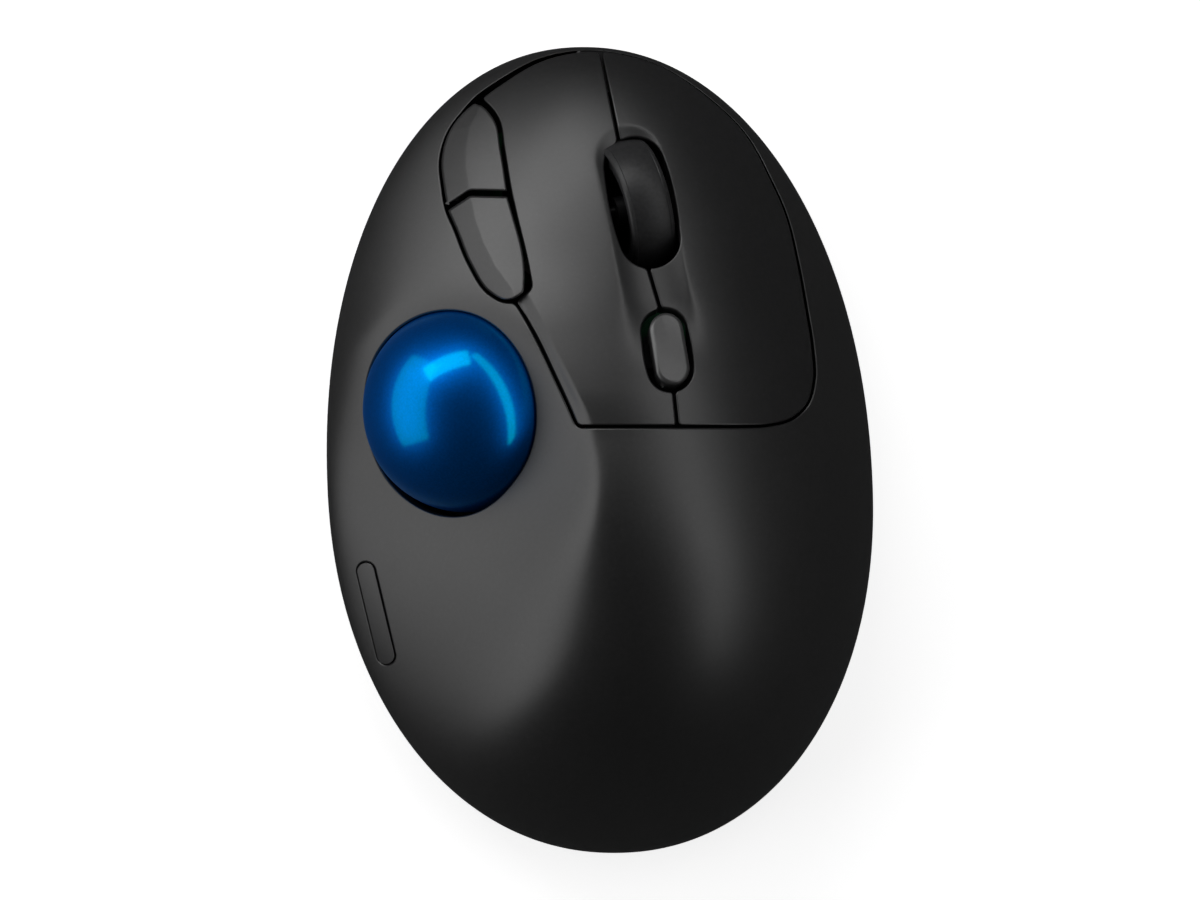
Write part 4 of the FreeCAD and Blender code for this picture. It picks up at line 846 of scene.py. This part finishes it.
def ball_mesh():
    """Sphere from a finely divided cube, so that it has no poles."""
    count = 40
    line = np.tan(np.linspace(-math.pi / 4, math.pi / 4, count + 1))
    u, v = np.meshgrid(line, line, indexing="ij")
    one = np.ones_like(u)
    sides = [(one, u, v), (-one, v, u), (v, one, u), (u, -one, v), (u, v, one), (v, u, -one)]
    vertices, faces, index = [], [], {}
    for parts in sides:
        grid = unit(np.stack(parts, -1))
        ids = np.zeros((count + 1, count + 1), int)
        for i in range(count + 1):
            for j in range(count + 1):
                key = tuple(np.round(grid[i, j], 6) + 0.0)
                if key not in index:
                    index[key] = len(vertices)
                    vertices.append(grid[i, j])
                ids[i, j] = index[key]
        corners = np.stack([ids[:-1, :-1], ids[1:, :-1], ids[1:, 1:], ids[:-1, 1:]], -1)
        faces += [tuple(face) for face in corners.reshape(-1, 4).tolist()]
    directions = np.array(vertices)
    points = BALL_CENTRE + directions * BALL_RADIUS
    corner_normals = directions[[v for face in faces for v in face]]
    return add_mesh("pearl_ball", points, faces, corner_normals, BALL)


ball = ball_mesh()
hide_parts("trackball")
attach(ball, "trackball")

paint_cad(BASE, "base_shell", "power_slider", "pairing_button", "receiver")
paint_cad(HUB, "wheel_hub")
# the axle gets darkened steel, painted shade in the slot beside the tyre
paint_cad(STEEL_PAINTED_SHADE, "wheel_axle")
paint_cad(STEEL, "key_hinge_pins", "usb_inlet", "case_screws", "board_screws")
# the wheel carrier is darkened nylon, painted shade in the gap beside the tyre
paint_cad(NYLON_PAINTED_SHADE, "wheel_carrier")
paint_cad(FRAME, "ball_cup", "key_frame", "thumb_board_posts", "wheel_encoder")
paint_cad(CERAMIC, "bearing_balls")
paint_cad(LENS, "sensor_lens")
paint_cad(BOARD, "main_board", "sensor_board", "led_board", "dpi_board", "thumb_board")
paint_cad(CHIP, "controller_chip", "ball_sensor")
paint_cad(SWITCH, "left_switch", "right_switch", "middle_switch", "dpi_switch", "thumb_switches",
          "power_switch", "pairing_switch")
paint_cad(CELL, "battery")
paint_cad(FEET, "feet")

# ---------------------------------------------------------------- floor, light, camera, in metres
FLOOR_HALF = 3
FLOOR_GLOW = 0.75
AIM = Vector((0, 0, 0.02))
WORLD_GLOW = 0.02
# the camera looks straight down from this height over the rim, and its picture is FIELD wide there
CAMERA_HEIGHT = 2.0
CAMERA_RIM = 0.0085
FIELD = 0.198
SENSOR = 36.0

floor_mesh = bpy.data.meshes.new("floor")
floor_mesh.from_pydata([(-FLOOR_HALF, -FLOOR_HALF, 0), (FLOOR_HALF, -FLOOR_HALF, 0),
                        (FLOOR_HALF, FLOOR_HALF, 0), (-FLOOR_HALF, FLOOR_HALF, 0)],
                       [], [(0, 1, 2, 3)])
floor = bpy.data.objects.new("floor", floor_mesh)
bpy.context.scene.collection.objects.link(floor)
floor_finish = plastic("pale_floor", (0.86, 0.86, 0.86), 0.8, 60, 0.0, 0.01)
floor_shader = floor_finish.node_tree.nodes["Principled BSDF"]
floor_shader.inputs["Emission Color"].default_value = (1, 1, 1, 1)
floor_shader.inputs["Emission Strength"].default_value = FLOOR_GLOW
floor_mesh.materials.append(floor_finish)
floor.visible_glossy = False


def softbox(name, place, along, width, length, power):
    """Rectangular light that faces the object, with its long side along a direction."""
    lamp = bpy.data.lights.new(name, "AREA")
    lamp.shape = "RECTANGLE"
    lamp.size = width
    lamp.size_y = length
    lamp.energy = power
    back = (Vector(place) - AIM).normalized()
    side = Vector(along).cross(back).normalized()
    turn = Matrix((side, back.cross(side), back)).transposed().to_4x4()
    item = bpy.data.objects.new(name, lamp)
    item.matrix_world = Matrix.Translation(place) @ turn
    bpy.context.scene.collection.objects.link(item)


softbox("left_softbox", place=(-1.0, 0.15, 0.42), along=(0, 1, 0),
        width=0.9, length=1.8, power=6.8)
softbox("right_strip", place=(0.535, 0.21, 0.60), along=(0.41, -0.91, 0),
        width=0.16, length=2.1, power=2.6)
softbox("front_softbox", place=(-0.45, 1.0, 0.75), along=(1, 0.4, 0),
        width=0.45, length=1.1, power=5.4)

world = bpy.data.worlds.new("studio")
bpy.context.scene.world = world
world.use_nodes = True
backdrop = world.node_tree.nodes["Background"]
backdrop.inputs["Color"].default_value = (1, 1, 1, 1)
backdrop.inputs["Strength"].default_value = WORLD_GLOW

bpy.context.scene.view_settings.view_transform = "Standard"

camera_data = bpy.data.cameras.new("camera")
camera_data.sensor_width = SENSOR
camera_data.lens = SENSOR * CAMERA_HEIGHT / FIELD
camera_data.clip_end = 20.0
camera = bpy.data.objects.new("camera", camera_data)
camera.location = (0.0, 0.0, CAMERA_HEIGHT + CAMERA_RIM)
bpy.context.scene.collection.objects.link(camera)
bpy.context.scene.camera = camera
